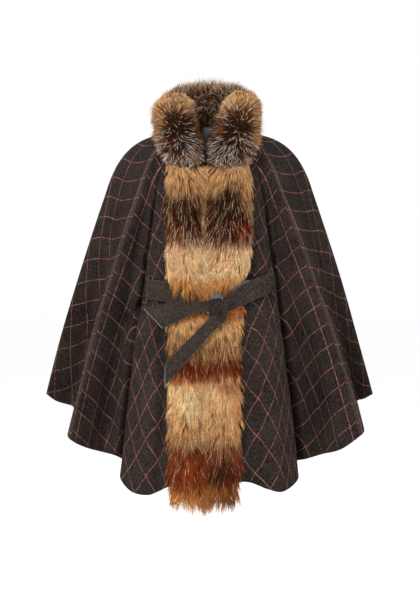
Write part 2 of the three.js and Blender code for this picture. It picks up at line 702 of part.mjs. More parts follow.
function facingGeometry() {
  const strip = FACING_STRIP;
  const grids = [CLOTH / 2, -CLOTH / 2].map((offset) => [strip.top, strip.bottom].map((z) => (
    Array.from({ length: strip.steps + 1 }, (_, i) => {
      const angle = radians(lerp(strip.from, strip.to, i / strip.steps));
      const r = strip.radius + offset;
      return new THREE.Vector3(r * Math.sin(angle), NECK.centreY - r * Math.cos(angle), z);
    }))));
  return outwardFacing(wallGeometry(grids[0], grids[1], false));
}

const cape = new THREE.Group();

function add(name, geometry, material) {
  const mesh = new THREE.Mesh(geometry, material);
  mesh.name = name;
  cape.add(mesh);
}

['left', 'right'].forEach((side) => {
  const seam = knotOf(side, 'seam_ridge');
  const total = knotOf(side, 'centre_back');
  const front = panelGeometry(side, 0, seam, FRONT_COLUMNS);
  add(`front_${side}`, subtract(front, slitTool(side)), WOOL);
  add(`back_${side}`, panelGeometry(side, seam, total, BACK_COLUMNS), WOOL);
  add(`fur_${side}`, subtract(furBandGeometry(side), collarFrontGeometry(side, SEAM_GAP)), FUR);
  const roll = collarFrontGeometry(side, 0);
  add(`collar_${side}`, subtract(roll, yokeRoom(side)), FUR);
});
const besideFronts = (geometry) => subtract(subtract(geometry, collarFrontGeometry('left', SEAM_GAP)),
  collarFrontGeometry('right', SEAM_GAP));
add('collar_back', besideFronts(collarRingGeometry()), FUR);
add('neck_facing', besideFronts(facingGeometry()), FACING);
add('belt_inside', waistLoopGeometry(), BELT_WOOL);
add('belt_knot', knotGeometry(0), BELT_WOOL);
Object.entries(BELT_STRETCHES).forEach(([name, stretch]) => {
  add(name, subtract(beltStretchGeometry(stretch), knotGeometry(2 * SEAM_GAP)), BELT_WOOL);
});

export default cape;
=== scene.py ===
"""Wool cape with a fur collar, fur front bands and a tie belt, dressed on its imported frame.

Shapes are worked out in millimetres as whole numpy arrays and put into the meshes in metres.
+Z is up, the front faces -Y, and the origin lies midway between the two shoulder points."""
import math

import bmesh
import bpy
import numpy as np
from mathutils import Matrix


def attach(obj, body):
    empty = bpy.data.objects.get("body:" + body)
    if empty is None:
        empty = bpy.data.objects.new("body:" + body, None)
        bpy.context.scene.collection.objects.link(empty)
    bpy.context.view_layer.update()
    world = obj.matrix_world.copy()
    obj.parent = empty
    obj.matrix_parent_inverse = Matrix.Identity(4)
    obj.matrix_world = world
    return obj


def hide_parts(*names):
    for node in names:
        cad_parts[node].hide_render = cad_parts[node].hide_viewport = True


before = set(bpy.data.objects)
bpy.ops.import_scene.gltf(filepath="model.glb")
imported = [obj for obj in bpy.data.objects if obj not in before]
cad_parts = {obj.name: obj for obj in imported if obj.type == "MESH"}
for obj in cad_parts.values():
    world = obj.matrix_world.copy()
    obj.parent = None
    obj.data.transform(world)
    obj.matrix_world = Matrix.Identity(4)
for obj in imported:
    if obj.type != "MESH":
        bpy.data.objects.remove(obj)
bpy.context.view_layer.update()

MM = 0.001
BODY = "root"

# Driving sizes of the cloth, the same as in the solids
CLOTH = 2.6                 # thickness of the wool
SEAM_GAP = 0.3              # space between two pieces sewn together
CLOSING_X = -11.0           # where the fronts meet
NECK = {"half_width": 80, "half_depth": 80, "centre_y": 5, "front_z": -40, "side_z": 57, "back_z": 50}
ROLL_UP, ROLL_DOWN = 0.5, 118.0
WAIST_Z, WAIST_REACH = -362.0, 84.0
YOKE_ROWS, ROLL_ROWS, FALL_ROWS = 2, 7, 14
ROLL_END = YOKE_ROWS + ROLL_ROWS
HEM_ROW = ROLL_END + FALL_ROWS
FUR_END_DROP = 62.0
SIDES = {"left": -1, "right": 1}

# Ribs, the lines of the cloth from neck to hem: name, turn on the neck in degrees, then out, y, z
# of the shoulder corner, of the left hem and of the right hem, then belly, pull and shift
RIBS = (
    ("edge", 2, (3, -125, -75), (3, -222, -852), (3, -222, -852), 0, 34, 1.0),
    ("under_fur", 20, (45, -126, -72), (55, -226, -850), (50, -226, -846), 0, 34, 0.5),
    ("fur_edge", 32, (78, -124, -66), (100, -228, -848), (80, -222, -836), 0, 36, 0.2),
    ("front_dip", 40, (92, -121, -61), (122, -221, -858), (104, -210, -840), 0, 36, 0),
    ("front_roll", 46, (104, -118, -56), (150, -225, -868), (140, -222, -853), 3, 35, 0),
    ("front_bulge", 51, (114, -113, -51), (190, -203, -863), (180, -208, -862), 4, 30, 0),
    ("bulge_side", 55, (122, -108, -46), (223, -150, -831), (223, -150, -835), 4, 22, 0),
    ("deep_valley", 58, (126, -103, -42), (212, -30, -809), (212, -25, -808), 0, 10, 0),
    ("soft_ridge", 61, (131, -102, -37), (239, -64, -788), (246, -66, -796), 5, 6, 0),
    ("inner_valley", 64, (136, -97, -30), (274, -25, -783), (290, -30, -787), 6, 3, 0),
    ("ridge_front", 67, (140, -95, -20), (319, -64, -766), (336, -76, -770), 10, 0, 0),
    ("seam_ridge", 70, (143, -90, -8), (353, -94, -744), (381, -98, -735), 13, 0, 0),
    ("ridge_side", 74, (152, -84, 0), (361, -68, -730), (394, -72, -722), 12, 0, 0),
    ("side_fold", 80, (174, -66, 6), (352, 10, -694), (388, 5, -688), 8, 0, 0),
    ("side_valley", 88, (198, -40, 10), (360, 76, -672), (392, 74, -656), 5, 0, 0),
    ("side_face", 96, (218, -14, 11), (405, 62, -656), (408, 60, -650), 6, 0, 0),
    ("corner_ridge", 104, (233, 12, 10), (428, 48, -637), (428, 48, -637), 7, 0, 0),
    ("corner_back", 112, (226, 40, 8), (420, 102, -642), (420, 102, -642), 6, 0, 0),
    ("back_side", 120, (205, 64, 7), (372, 150, -664), (372, 152, -664), 5, 0, 0),
    ("back_valley_1", 129, (178, 82, 4), (312, 160, -694), (306, 158, -690), 3, 0, 0),
    ("back_ridge_1", 138, (150, 98, 0), (252, 238, -728), (246, 234, -724), 6, 0, 0),
    ("back_valley_2", 148, (118, 108, -5), (190, 204, -768), (184, 202, -764), 3, 0, 0),
    ("back_ridge_2", 158, (82, 118, -9), (124, 274, -800), (120, 272, -800), 6, 0, 0),
    ("back_valley_3", 169, (42, 124, -12), (60, 238, -822), (58, 238, -822), 3, 0, 0),
    ("centre_back", 180, (0, 128, -14), (0, 268, -832), (0, 268, -832), 6, 0, 0),
)
NAMES = [rib[0] for rib in RIBS]
LAST = len(RIBS) - 1
TURNS = np.array([rib[1] for rib in RIBS], float)
CORNERS = np.array([rib[2] for rib in RIBS], float)
HEMS = {"left": np.array([rib[3] for rib in RIBS], float),
        "right": np.array([rib[4] for rib in RIBS], float)}
BELLY = np.array([rib[5] for rib in RIBS], float)
PULL = np.array([rib[6] for rib in RIBS], float)
SHIFT = np.array([rib[7] for rib in RIBS], float)

SLIT = {"width": 9.0, "height": 64.0}
SLITS = {"left": ("front_bulge", 0.33, -362.0), "right": ("front_bulge", 0.85, -342.0)}

# Fur bands, by height: width of the left and the right band from the closing line, and thickness
FUR_LIFT = 1.6
FUR_TOP_Z = -68.0
FUR_ROWS = ((-60, 90, 108, 32), (-130, 96, 117, 40), (-300, 97, 117, 42), (-400, 90, 90, 36),
            (-600, 90, 86, 42), (-800, 88, 84, 42), (-920, 84, 76, 30))
BELT_DENT = {"closing_z": -402, "edge_z": {"left": -374, "right": -358}, "edge_out": 90,
             "reach": 46, "depth": 0.68}
KNOT_DENT = {"x": 22, "z": -417, "reach": 48, "depth": 0.74}

# Standing ring of the collar: turn, radius, top, thickness
COLLAR_ROWS = ((60, 104, 134, 60), (100, 105, 153, 62), (140, 106, 178, 60), (180, 104, 187, 58))
COLLAR_FROM = 68.0
COLLAR_LIFT = CLOTH / 2 + SEAM_GAP + 2
# Rolled fronts of the collar, bottom to top: height, x, y, half width, half depth
COLLAR_FRONTS = {
    "left": ((-56, -63, -128, 14, 8), (-49, -63, -126, 40, 20), (-34, -67, -120, 52, 28),
             (-10, -72, -112, 59, 38), (16, -78, -102, 65, 46), (42, -84, -90, 61, 50),
             (90, -91, -76, 55, 50), (108, -91, -73, 51, 46), (122, -90, -71, 42, 36),
             (130, -89, -70, 28, 23), (134, -88, -70, 12, 10)),
    "right": ((-58, 52, -128, 14, 8), (-50, 52, -126, 46, 20), (-34, 53, -120, 59, 28),
              (-10, 57, -112, 63, 38), (16, 62, -102, 67, 46), (42, 67, -90, 64, 50),
              (90, 78, -76, 55, 50), (111, 82, -73, 50, 46), (127, 84, -71, 40, 36),
              (137, 84, -70, 26, 23), (141, 84, -70, 11, 10)),
}
SQUARENESS = 2.4

# Belt: upper and lower edge of each stretch as x, z and lift in front of the cloth
BELT_THICK = 3.0
BELT_WIDTH = 50.0
SLIT_INSIDE, SLIT_OUTSIDE = -6.0, 5.0
BELT_STRETCHES = {
    "belt_left": {
        "slit": "left",
        "upper": ((-148, -338, 7), (-128, -340, 8), (-113, -343, 15), (-98, -347, 22),
                  (-60, -356, 22), (-20, -370, 21), (21, -386, 21)),
        "lower": ((-148, -388, 7), (-128, -390, 8), (-113, -394, 15), (-98, -397, 22),
                  (-60, -406, 23), (-20, -414, 21), (21, -420, 20))},
    "belt_right": {
        "slit": "right",
        "upper": ((154, -321, 7), (138, -327, 8), (122, -333, 15), (104, -340, 23),
                  (86, -350, 23), (60, -366, 21), (23, -388, 21)),
        "lower": ((154, -370, 7), (138, -378, 8), (120, -386, 15), (102, -393, 22),
                  (84, -402, 24), (58, -413, 25), (23, -424, 20))},
    "belt_tail_side": {
        "slit": None,
        "upper": ((20, -404, 42), (-10, -396, 35), (-48, -392, 32), (-103, -397, 32),
                  (-165, -412, 31)),
        "lower": ((20, -426, 38), (-10, -418, 38), (-34, -420, 38), (-61, -434, 49),
                  (-117, -460, 38))},
    "belt_tail_down": {
        "slit": None,
        "upper": ((14, -412, 40), (8, -424, 43), (-36, -471, 48), (-73, -508, 49),
                  (-108, -545, 44)),
        "lower": ((28, -428, 38), (31, -444, 42), (4, -472, 49), (-36, -518, 52),
                  (-110, -600, 52))},
}
WAIST_LOOP = ((-146, -84, -361), (-146, -40, -360), (-143, 10, -358), (-118, 64, -355),
              (-62, 98, -353), (0, 106, -352), (62, 98, -351), (118, 64, -349), (143, 10, -346),
              (147, -40, -344), (151, -80, -343))
KNOT = {"centre": (22, -417), "lift": 37.5, "half": (23, 16, 33)}
FACING = {"from": -14.0, "to": 22.0, "radius": 69.4, "bottom": -52.0, "top": 52.0}

# How the cloth was cut, with the weave straight along the arm seam. For each named rib: millimetres
# across from the seam, then how far the way down the rib falls behind the weave, both at four
# lengths down the rib
CHECK = 52.0
CUT_LENGTHS = (150, 325, 575, 850)
CUT_START = 64.0
CUT_FRONT_LEFT = (
    ("edge", (150, 240, 420, 590), (60, 120, 280, 400)),
    ("under_fur", (112, 200, 372, 530), (45, 85, 240, 345)),
    ("fur_edge", (92, 165, 330, 480), (32, 55, 195, 295)),
    ("front_dip", (80, 143, 302, 452), (26, 42, 170, 268)),
    ("front_roll", (66, 126, 274, 424), (20, 32, 147, 246)),
    ("front_bulge", (50, 96, 226, 380), (15, 26, 100, 208)),
    ("bulge_side", (38, 68, 165, 330), (10, 17, 62, 150)),
    ("deep_valley", (28, 55, 142, 262), (7, 13, 50, 95)),
    ("soft_ridge", (22, 50, 134, 232), (5, 11, 45, 72)),
    ("inner_valley", (16, 36, 94, 168), (3, 8, 24, 56)),
    ("ridge_front", (8, 15, 37, 57), (1, 2, 6, 19)),
    ("seam_ridge", (0, 0, 0, 0), (0, 0, 0, 0)),
)
CUT_FRONT_RIGHT = (
    ("edge", (160, 265, 450, 625), (65, 135, 300, 430)),
    ("under_fur", (120, 222, 405, 562), (50, 98, 258, 375)),
    ("fur_edge", (98, 185, 362, 512), (36, 68, 212, 325)),
    ("front_dip", (86, 163, 336, 486), (30, 55, 188, 298)),
    ("front_roll", (72, 146, 308, 458), (24, 46, 165, 276)),
    ("front_bulge", (54, 118, 262, 418), (18, 42, 128, 244)),
    ("bulge_side", (40, 78, 172, 290), (11, 22, 55, 112)),
    ("deep_valley", (28, 60, 160, 245), (7, 15, 56, 92)),
    ("soft_ridge", (22, 52, 140, 230), (5, 11, 46, 74)),
    ("inner_valley", (16, 36, 94, 168), (3, 8, 24, 56)),
    ("ridge_front", (8, 15, 37, 57), (1, 2, 6, 19)),
    ("seam_ridge", (0, 0, 0, 0), (0, 0, 0, 0)),
)
CUT_BACK = (
    ("seam_ridge", (0, 0, 0, 0), (0, 0, 0, 0)),
    ("ridge_side", (20, 14, 14, 24), (12, 10, 10, 4)),
    ("side_fold", (44, 36, 88, 128), (30, 24, 32, 40)),
    ("side_valley", (66, 54, 148, 217), (42, 40, 53, 80)),
    ("side_face", (90, 115, 193, 273), (46, 48, 80, 115)),
    ("corner_ridge", (112, 148, 232, 312), (52, 66, 100, 132)),
    ("corner_back", (140, 190, 290, 372), (62, 90, 130, 165)),
    ("back_side", (165, 230, 350, 445), (75, 120, 175, 215)),
    ("back_ridge_1", (176, 262, 412, 561), (95, 150, 232, 312)),
    ("back_ridge_2", (196, 310, 486, 674), (129, 214, 326, 442)),
    ("centre_back", (206, 334, 532, 746), (161, 269, 414, 566)),
)
# Each panel's table, and where its first line lies across and down
CUT = {
    ("left", "front"): (CUT_FRONT_LEFT, 34, -20),
    ("right", "front"): (CUT_FRONT_RIGHT, 34, -7),
    ("left", "back"): (CUT_BACK, 39, -29),
    ("right", "back"): (CUT_BACK, 42, -13),
}

# Soft creases on the cloth seen from the front: x, z at both ends, half width, depth below (-)
CREASES = {
    "left": ((-150, -376, -222, -450, 10, -9), (-150, -345, -208, -300, 12, -4),
             (-146, -330, -170, -250, 10, -6), (-120, -230, -140, -150, 13, -6),
             (-175, -420, -200, -560, 20, 7), (-130, -560, -150, -800, 24, 7),
             (-245, -240, -285, -420, 22, -7), (-300, -380, -345, -600, 24, -7),
             (-250, -560, -268, -740, 20, -7), (-110, -420, -128, -520, 12, -7),
             (-164, -150, -186, -290, 12, -5)),
    "right": ((118, -404, 200, -478, 11, -10), (158, -326, 214, -284, 12, -4),
              (152, -312, 176, -236, 10, -6), (126, -220, 146, -140, 13, -6),
              (182, -410, 206, -540, 20, 7), (126, -540, 136, -840, 26, -9),
              (252, -220, 296, -400, 22, -7), (318, -370, 362, -590, 24, -7),
              (262, -540, 286, -730, 20, -7), (112, -400, 124, -500, 12, -6),
              (172, -150, 196, -290, 12, -5)),
}
BACK_CREASES = ((-60, -120, -86, -420, 26, -6), (54, -150, 92, -470, 26, -6),
                (-140, -260, -188, -560, 30, -6), (150, -230, 196, -520, 30, -6),
                (-10, -380, -22, -700, 30, 5), (24, -420, 30, -760, 28, -5),
                (-230, -300, -290, -560, 26, -5), (236, -320, 300, -600, 26, -5))


def lerp(a, b, f):
    return a + (b - a) * f


def smooth(f):
    """The s-shaped step from 0 to 1: three times f squared, less two times f cubed."""
    f = np.clip(f, 0.0, 1.0)
    return f * f * (3 - 2 * f)


def unit(v):
    """Vectors of length one."""
    return v / np.maximum(np.linalg.norm(v, axis=-1, keepdims=True), 1e-9)


def eased(x, xs, ys):
    """Value at x of a table with rising or falling xs, eased with the s-step between its rows."""
    xs, ys, x = np.asarray(xs, float), np.asarray(ys, float), np.asarray(x, float)
    if xs[0] > xs[-1]:
        xs, ys = xs[::-1], ys[::-1]
    i = np.clip(np.searchsorted(xs, x) - 1, 0, len(xs) - 2)
    f = smooth((x - xs[i]) / (xs[i + 1] - xs[i]))
    return lerp(ys[i], ys[i + 1], f)


def bilinear(grid, r, c):
    """Value of a grid at fractional rows r and columns c: the mean of four cells by nearness."""
    rows, columns = grid.shape[:2]
    r, c = np.clip(r, 0, rows - 1), np.clip(c, 0, columns - 1)
    r0, c0 = np.minimum(r.astype(int), rows - 2), np.minimum(c.astype(int), columns - 2)
    fr, fc = r - r0, c - c0
    if grid.ndim > 2:
        fr, fc = fr[..., None], fc[..., None]
    top = lerp(grid[r0, c0], grid[r0, c0 + 1], fc)
    low = lerp(grid[r0 + 1, c0], grid[r0 + 1, c0 + 1], fc)
    return lerp(top, low, fr)


# The cloth

def neck_point(turn):
    """Point of the neck seam: an ellipse in plan, whose height rises from front to side and dips
    again to the back."""
    angle = np.radians(turn)
    rise = lerp(NECK["front_z"], NECK["side_z"], smooth(turn / 90))
    return np.stack([NECK["half_width"] * np.sin(angle),
                     NECK["centre_y"] - NECK["half_depth"] * np.cos(angle),
                     lerp(rise, NECK["back_z"], smooth((turn - 90) / 90))], axis=-1)


def rib_point(side, i, row):
    """Point of rib i at a grid row: straight from the neck, a quadratic bend over the shoulder
    corner, then straight to the hem with a sine belly, and plumb below the hem. A bell-shaped pull
    draws it in at the waist. One past the last rib is the mirror image of the one before it."""
    mirrored = i > LAST
    i = np.where(mirrored, LAST - 1, np.clip(i, 0, LAST))
    row = np.asarray(row, float)[..., None]
    neck, corner, hem = neck_point(TURNS[i]), CORNERS[i], HEMS[side][i]
    before = lerp(neck, corner, 1 - ROLL_UP)
    after = lerp(corner, hem, ROLL_DOWN / np.linalg.norm(hem - corner, axis=-1, keepdims=True))
    over = np.clip((row - YOKE_ROWS) / ROLL_ROWS, 0, 1)
    down = np.clip((row - ROLL_END) / FALL_ROWS, 0, 1)
    yoke = lerp(neck, before, np.clip(row / YOKE_ROWS, 0, 1))
    bend = lerp(lerp(before, corner, over), lerp(corner, after, over), over)
    fall = lerp(after, hem, down)
    bulge = BELLY[i] * np.sin(np.pi * down[..., 0])
    outward = np.hypot(fall[..., 0], fall[..., 1])
    fall[..., :2] *= (1 + bulge / outward)[..., None]
    fall[..., 2] -= FUR_END_DROP * np.maximum(0, row[..., 0] - HEM_ROW)
    p = np.where(row <= YOKE_ROWS, yoke, np.where(row <= ROLL_END, bend, fall))
    p[..., 1] += PULL[i] * np.exp(-((p[..., 2] - WAIST_Z) / WAIST_REACH) ** 2)
    p[..., 0] = SIDES[side] * p[..., 0] + SHIFT[i] * CLOSING_X
    p[..., 0] *= np.where(mirrored, -1, 1)
    return p


def running_length(line):
    """Way along a line of points, from nought at its first one."""
    return np.concatenate([[0], np.cumsum(np.linalg.norm(np.diff(line, axis=0), axis=1))])


KNOTS = {side: running_length(hem) for side, hem in HEMS.items()}


def knot_of(side, name):
    return KNOTS[side][NAMES.index(name)]


def cloth_point(side, u, row):
    """Middle of the cloth at distance u along the hem and a grid row: the cubic through the ribs
    whose slope at each rib is that of the line between its neighbours."""
    knots = KNOTS[side]
    u, row = np.broadcast_arrays(np.asarray(u, float), np.asarray(row, float))
    i = np.clip(np.searchsorted(knots, u) - 1, 0, LAST - 1)
    wide = np.concatenate([[2 * knots[0] - knots[1]], knots, [2 * knots[-1] - knots[-2]]])
    p0, p1, p2, p3 = (rib_point(side, i + k, row) for k in (-1, 0, 1, 2))
    span = wide[i + 2] - wide[i + 1]
    first = (p2 - p0) * (span / (wide[i + 2] - wide[i]))[..., None]
    m1 = np.where((i == 0)[..., None], p2 - p1, first)
    m2 = (p3 - p1) * (span / (wide[i + 3] - wide[i + 1]))[..., None]
    f = ((u - wide[i + 1]) / span)[..., None]
    f2, f3 = f * f, f ** 3
    return (p1 * (2 * f3 - 3 * f2 + 1) + m1 * (f3 - 2 * f2 + f) + p2 * (3 * f2 - 2 * f3)
            + m2 * (f3 - f2))


def cloth_normal(side, u, row):
    """Outward direction of the cloth: the cross product of its slopes across and down."""
    total = KNOTS[side][-1]
    across = cloth_point(side, np.minimum(total + 0.5, u + 0.5), row) \
        - cloth_point(side, np.maximum(0, u - 0.5), row)
    down = cloth_point(side, u, np.minimum(HEM_ROW, row + 0.1)) \
        - cloth_point(side, u, np.maximum(0, row - 0.1))
    return -SIDES[side] * unit(np.cross(across, down))


def row_at_height(side, u, z):
    """Grid row at which the cloth reaches a height, by halving the range."""
    low, high = np.full(np.shape(u), float(YOKE_ROWS)), np.full(np.shape(u), HEM_ROW + 1.0)
    for _ in range(30):
        middle = (low + high) / 2
        above = cloth_point(side, u, middle)[..., 2] > z
        low, high = np.where(above, middle, low), np.where(above, high, middle)
    return (low + high) / 2


def u_at_width(side, row, width):
    """Distance along the hem at which a grid row lies a given way out from the closing line."""
    low = np.zeros(np.broadcast(row, width).shape)
    high = low + knot_of(side, "bulge_side")
    for _ in range(30):
        middle = (low + high) / 2
        near = np.abs(cloth_point(side, middle, row)[..., 0] - CLOSING_X) < width
        low, high = np.where(near, middle, low), np.where(near, high, middle)
    return (low + high) / 2


def front_depth(x, z):
    """Depth y of the cloth behind places x, z of the front."""
    x, z = np.broadcast_arrays(np.asarray(x, float), np.asarray(z, float))
    depth = np.zeros(x.shape)
    for side, here in (("left", x < CLOSING_X), ("right", x >= CLOSING_X)):
        if not here.any():
            continue
        row, u = np.full(here.sum(), float(ROLL_END)), np.zeros(here.sum())
        for _ in range(6):
            u = u_at_width(side, row, np.abs(x[here] - CLOSING_X))
            row = row_at_height(side, u, z[here])
        depth[here] = cloth_point(side, u, row)[..., 1]
    return depth


def slit_place(side):
    """Middle, upward direction, outward direction, place along the hem and end rows of a slit."""
    name, share, z = SLITS[side]
    i = NAMES.index(name)
    u = np.array(lerp(KNOTS[side][i], KNOTS[side][i + 1], share))
    half = SLIT["height"] / 2
    row, top, low = (row_at_height(side, u, h) for h in (z, z + half, z - half))
    up = unit(cloth_point(side, u, top) - cloth_point(side, u, low))
    return {"point": cloth_point(side, u, row), "up": up, "normal": cloth_normal(side, u, row),
            "u": float(u), "top": float(top), "low": float(low), "row": float(row)}


# Meshes

def mesh_object(name, verts, faces, material, sharp=None):
    """A mesh object from an array of points in millimetres and one of faces, all of one size."""
    mesh = bpy.data.meshes.new(name)
    faces = np.asarray(faces, np.int32)
    sides = faces.shape[1]
    mesh.vertices.add(len(verts))
    mesh.vertices.foreach_set("co", (np.asarray(verts, float) * MM).astype(np.float32).ravel())
    mesh.loops.add(faces.size)
    mesh.loops.foreach_set("vertex_index", faces.ravel())
    mesh.polygons.add(len(faces))
    mesh.polygons.foreach_set("loop_start", np.arange(0, faces.size, sides, dtype=np.int32))
    mesh.update(calc_edges=True)
    mesh.validate()
    mesh.shade_smooth()
    if sharp is not None:
        mesh.set_sharp_from_angle(angle=math.radians(sharp))
    mesh.materials.append(material)
    made = bpy.data.objects.new(name, mesh)
    bpy.context.collection.objects.link(made)
    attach(made, BODY)
    return made


def add_map(made, name, places):
    """A UV map on a piece, from one pair of numbers for each of its points."""
    mesh = made.data
    corner = np.zeros(len(mesh.loops), np.int32)
    mesh.loops.foreach_get("vertex_index", corner)
    layer = mesh.uv_layers.new(name=name)
    layer.uv.foreach_set("vector", np.asarray(places, np.float32)[corner].ravel())


def shell_faces(keep):
    """Faces of a wall between an outer and an inner grid of points, with a rim wherever a kept
    cell has no kept neighbour. Points are numbered row by row, the outer layer first."""
    rows, columns = keep.shape
    number = np.arange((rows + 1) * (columns + 1)).reshape(rows + 1, columns + 1)
    layer = number.size
    a, b = number[:-1, :-1], number[:-1, 1:]
    c, d = number[1:, 1:], number[1:, :-1]
    faces = [np.stack([a, d, c, b], -1)[keep], (layer + np.stack([a, b, c, d], -1))[keep]]
    padded = np.pad(keep, 1)
    for dr, dc, first, second in ((-1, 0, b, a), (1, 0, d, c), (0, -1, a, d), (0, 1, c, b)):
        beside = padded[1 + dr:rows + 1 + dr, 1 + dc:columns + 1 + dc]
        edge = keep & ~beside
        faces.append(np.stack([first, layer + first, layer + second, second], -1)[edge])
    return np.concatenate(faces)


def crease_depth(x, z, table):
    """Height added by soft creases: each is a bell across its line, fading to its ends."""
    height = np.zeros(x.shape)
    for x0, z0, x1, z1, half, depth in table:
        along = np.array([x1 - x0, z1 - z0], float)
        length = np.hypot(*along)
        along /= length
        f = ((x - x0) * along[0] + (z - z0) * along[1]) / length
        off = (x - x0) * along[1] - (z - z0) * along[0]
        fade = np.exp(-(np.maximum(0, np.abs(f - 0.5) - 0.28) / 0.26) ** 2)
        height += depth * fade * np.exp(-(off / (half * (0.75 + 0.5 * np.clip(f, 0, 1)))) ** 2)
    return height


def cloth_relief(side, u, points, normals):
    """Creases on the faces that look forward or back, and a slow waviness that grows downwards."""
    x, y, z = points[..., 0], points[..., 1], points[..., 2]
    front = smooth((-normals[..., 1] - 0.05) / 0.4) * (y < 40)
    back = smooth((normals[..., 1] - 0.05) / 0.4) * (y > 0)
    waves = np.sin(u / 47 + z / 160 + SIDES[side]) * np.sin(z / 91 + u / 130)
    ripple = np.sin(u / 19 + z / 230) * np.sin(z / 57 - u / 90)
    grow = smooth((-z - 60) / 500) * smooth((KNOTS[side][-1] - u) / 70)
    return (crease_depth(x, z, CREASES[side]) * front + crease_depth(x, z, BACK_CREASES) * back
            + grow * (1.6 * waves + 0.5 * ripple))


def cubic(knots, values, x):
    """Each column of values at the places in the same column of x: the cubic through the knots with
    the slopes of their neighbours, carried on straight beyond both ends."""
    slopes = np.gradient(values, knots, axis=0)
    i = np.clip(np.searchsorted(knots, x) - 1, 0, len(knots) - 2)
    span = knots[i + 1] - knots[i]
    f = (x - knots[i]) / span
    a, b = np.take_along_axis(values, i, 0), np.take_along_axis(values, i + 1, 0)
    m, n = np.take_along_axis(slopes, i, 0) * span, np.take_along_axis(slopes, i + 1, 0) * span
    inside = (a * (2 * f ** 3 - 3 * f ** 2 + 1) + m * (f ** 3 - 2 * f ** 2 + f)
              + b * (3 * f ** 2 - 2 * f ** 3) + n * (f ** 3 - f ** 2))
    return np.where(f < 0, a + m * f, np.where(f > 1, b + n * (f - 1), inside))


def cut_places(side, which, us, points):
    """Where each point lay in the flat cloth, in checks across and down: the panel's table gives the
    way across and the lag down for each rib, eased between ribs and between the four lengths."""
    table, across, down = CUT[side, which]
    order = np.array([knot_of(side, row[0]) for row in table])
    values = np.array([row[1] + row[2] for row in table], float)
    values = cubic(order, values, np.repeat(us[:, None], 8, 1)).T
    steps = np.linalg.norm(np.diff(points, axis=0), axis=-1)
    run = np.concatenate([np.zeros((1, points.shape[1])), np.cumsum(steps, 0)])
    lengths = np.array(CUT_LENGTHS, float)
    p, lag = cubic(lengths, values[:4], run), cubic(lengths, values[4:], run)
    return np.stack([p + across, CUT_START + run - lag + down], -1) / CHECK


def cloth_panel(name, side, which, columns, material):
    """One cut piece of the cape: its middle surface with the creases, moved half the cloth's
    thickness both ways along its normals, with an open slit for the belt in a front."""
    seam = knot_of(side, "seam_ridge")
    ends = (0.0, seam) if which == "front" else (seam, KNOTS[side][-1])
    us = np.linspace(*ends, columns + 1)
    rows = np.concatenate([np.linspace(0, YOKE_ROWS, 4)[:-1], np.linspace(YOKE_ROWS, ROLL_END, 30)[:-1],
                           np.linspace(ROLL_END, HEM_ROW, 92)])
    keep_columns, keep_rows = None, None
    if which == "front":
        place = slit_place(side)
        step = np.linalg.norm(cloth_point(side, np.array(place["u"] + 5), np.array(place["row"]))
                              - cloth_point(side, np.array(place["u"] - 5), np.array(place["row"])))
        half = SLIT["width"] / 2 / (step / 10)
        us = with_lines(us, (place["u"] - half, place["u"] + half))
        rows = with_lines(rows, (place["top"], place["low"]))
        keep_columns = (us[:-1] >= place["u"] - half - 1e-6) & (us[1:] <= place["u"] + half + 1e-6)
        keep_rows = (rows[:-1] >= place["top"] - 1e-6) & (rows[1:] <= place["low"] + 1e-6)
    u, row = np.meshgrid(us, rows)
    middle, normal = cloth_point(side, u, row), cloth_normal(side, u, row)
    middle = middle + normal * cloth_relief(side, u, middle, normal)[..., None]
    if which == "front":
        middle[:, 0] += unit(middle[:, 1] - middle[:, 0]) * SEAM_GAP / 2
    keep = np.ones((len(rows) - 1, len(us) - 1), bool)
    if keep_columns is not None:
        keep[np.ix_(keep_rows, keep_columns)] = False
    faces = shell_faces(keep)
    if side == "right":
        faces = faces[:, ::-1]
    verts = np.concatenate([(middle + normal * CLOTH / 2).reshape(-1, 3),
                            (middle - normal * CLOTH / 2).reshape(-1, 3)])
    made = mesh_object(name, verts, faces, material, sharp=50)
    cut = cut_places(side, which, us, middle).reshape(-1, 2)
    add_map(made, "cut", np.concatenate([cut, cut]))
    from_seam = np.linalg.norm(middle - middle[:, [-1 if which == "front" else 0]], axis=-1)
    from_seam *= 1 if which == "front" else -1
    from_slit = np.full(u.shape, 500.0)
    if which == "front":
        wide = np.abs(u - place["u"]) * step / 10 - SLIT["width"] / 2
        high = np.abs((middle - place["point"]) @ place["up"]) - SLIT["height"] / 2
        from_slit = np.maximum(wide, high)
    edges = np.stack([from_seam, from_slit], -1).reshape(-1, 2) * MM
    add_map(made, "edges", np.concatenate([edges, edges]))
    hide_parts(name.replace("cape_", ""))
    return made


def with_lines(values, lines):
    """Grid lines with the nearest ones moved onto the wanted places."""
    values = values.copy()
    for line in lines:
        values[1 + np.argmin(np.abs(values[1:-1] - line))] = line
    return values


# Hair

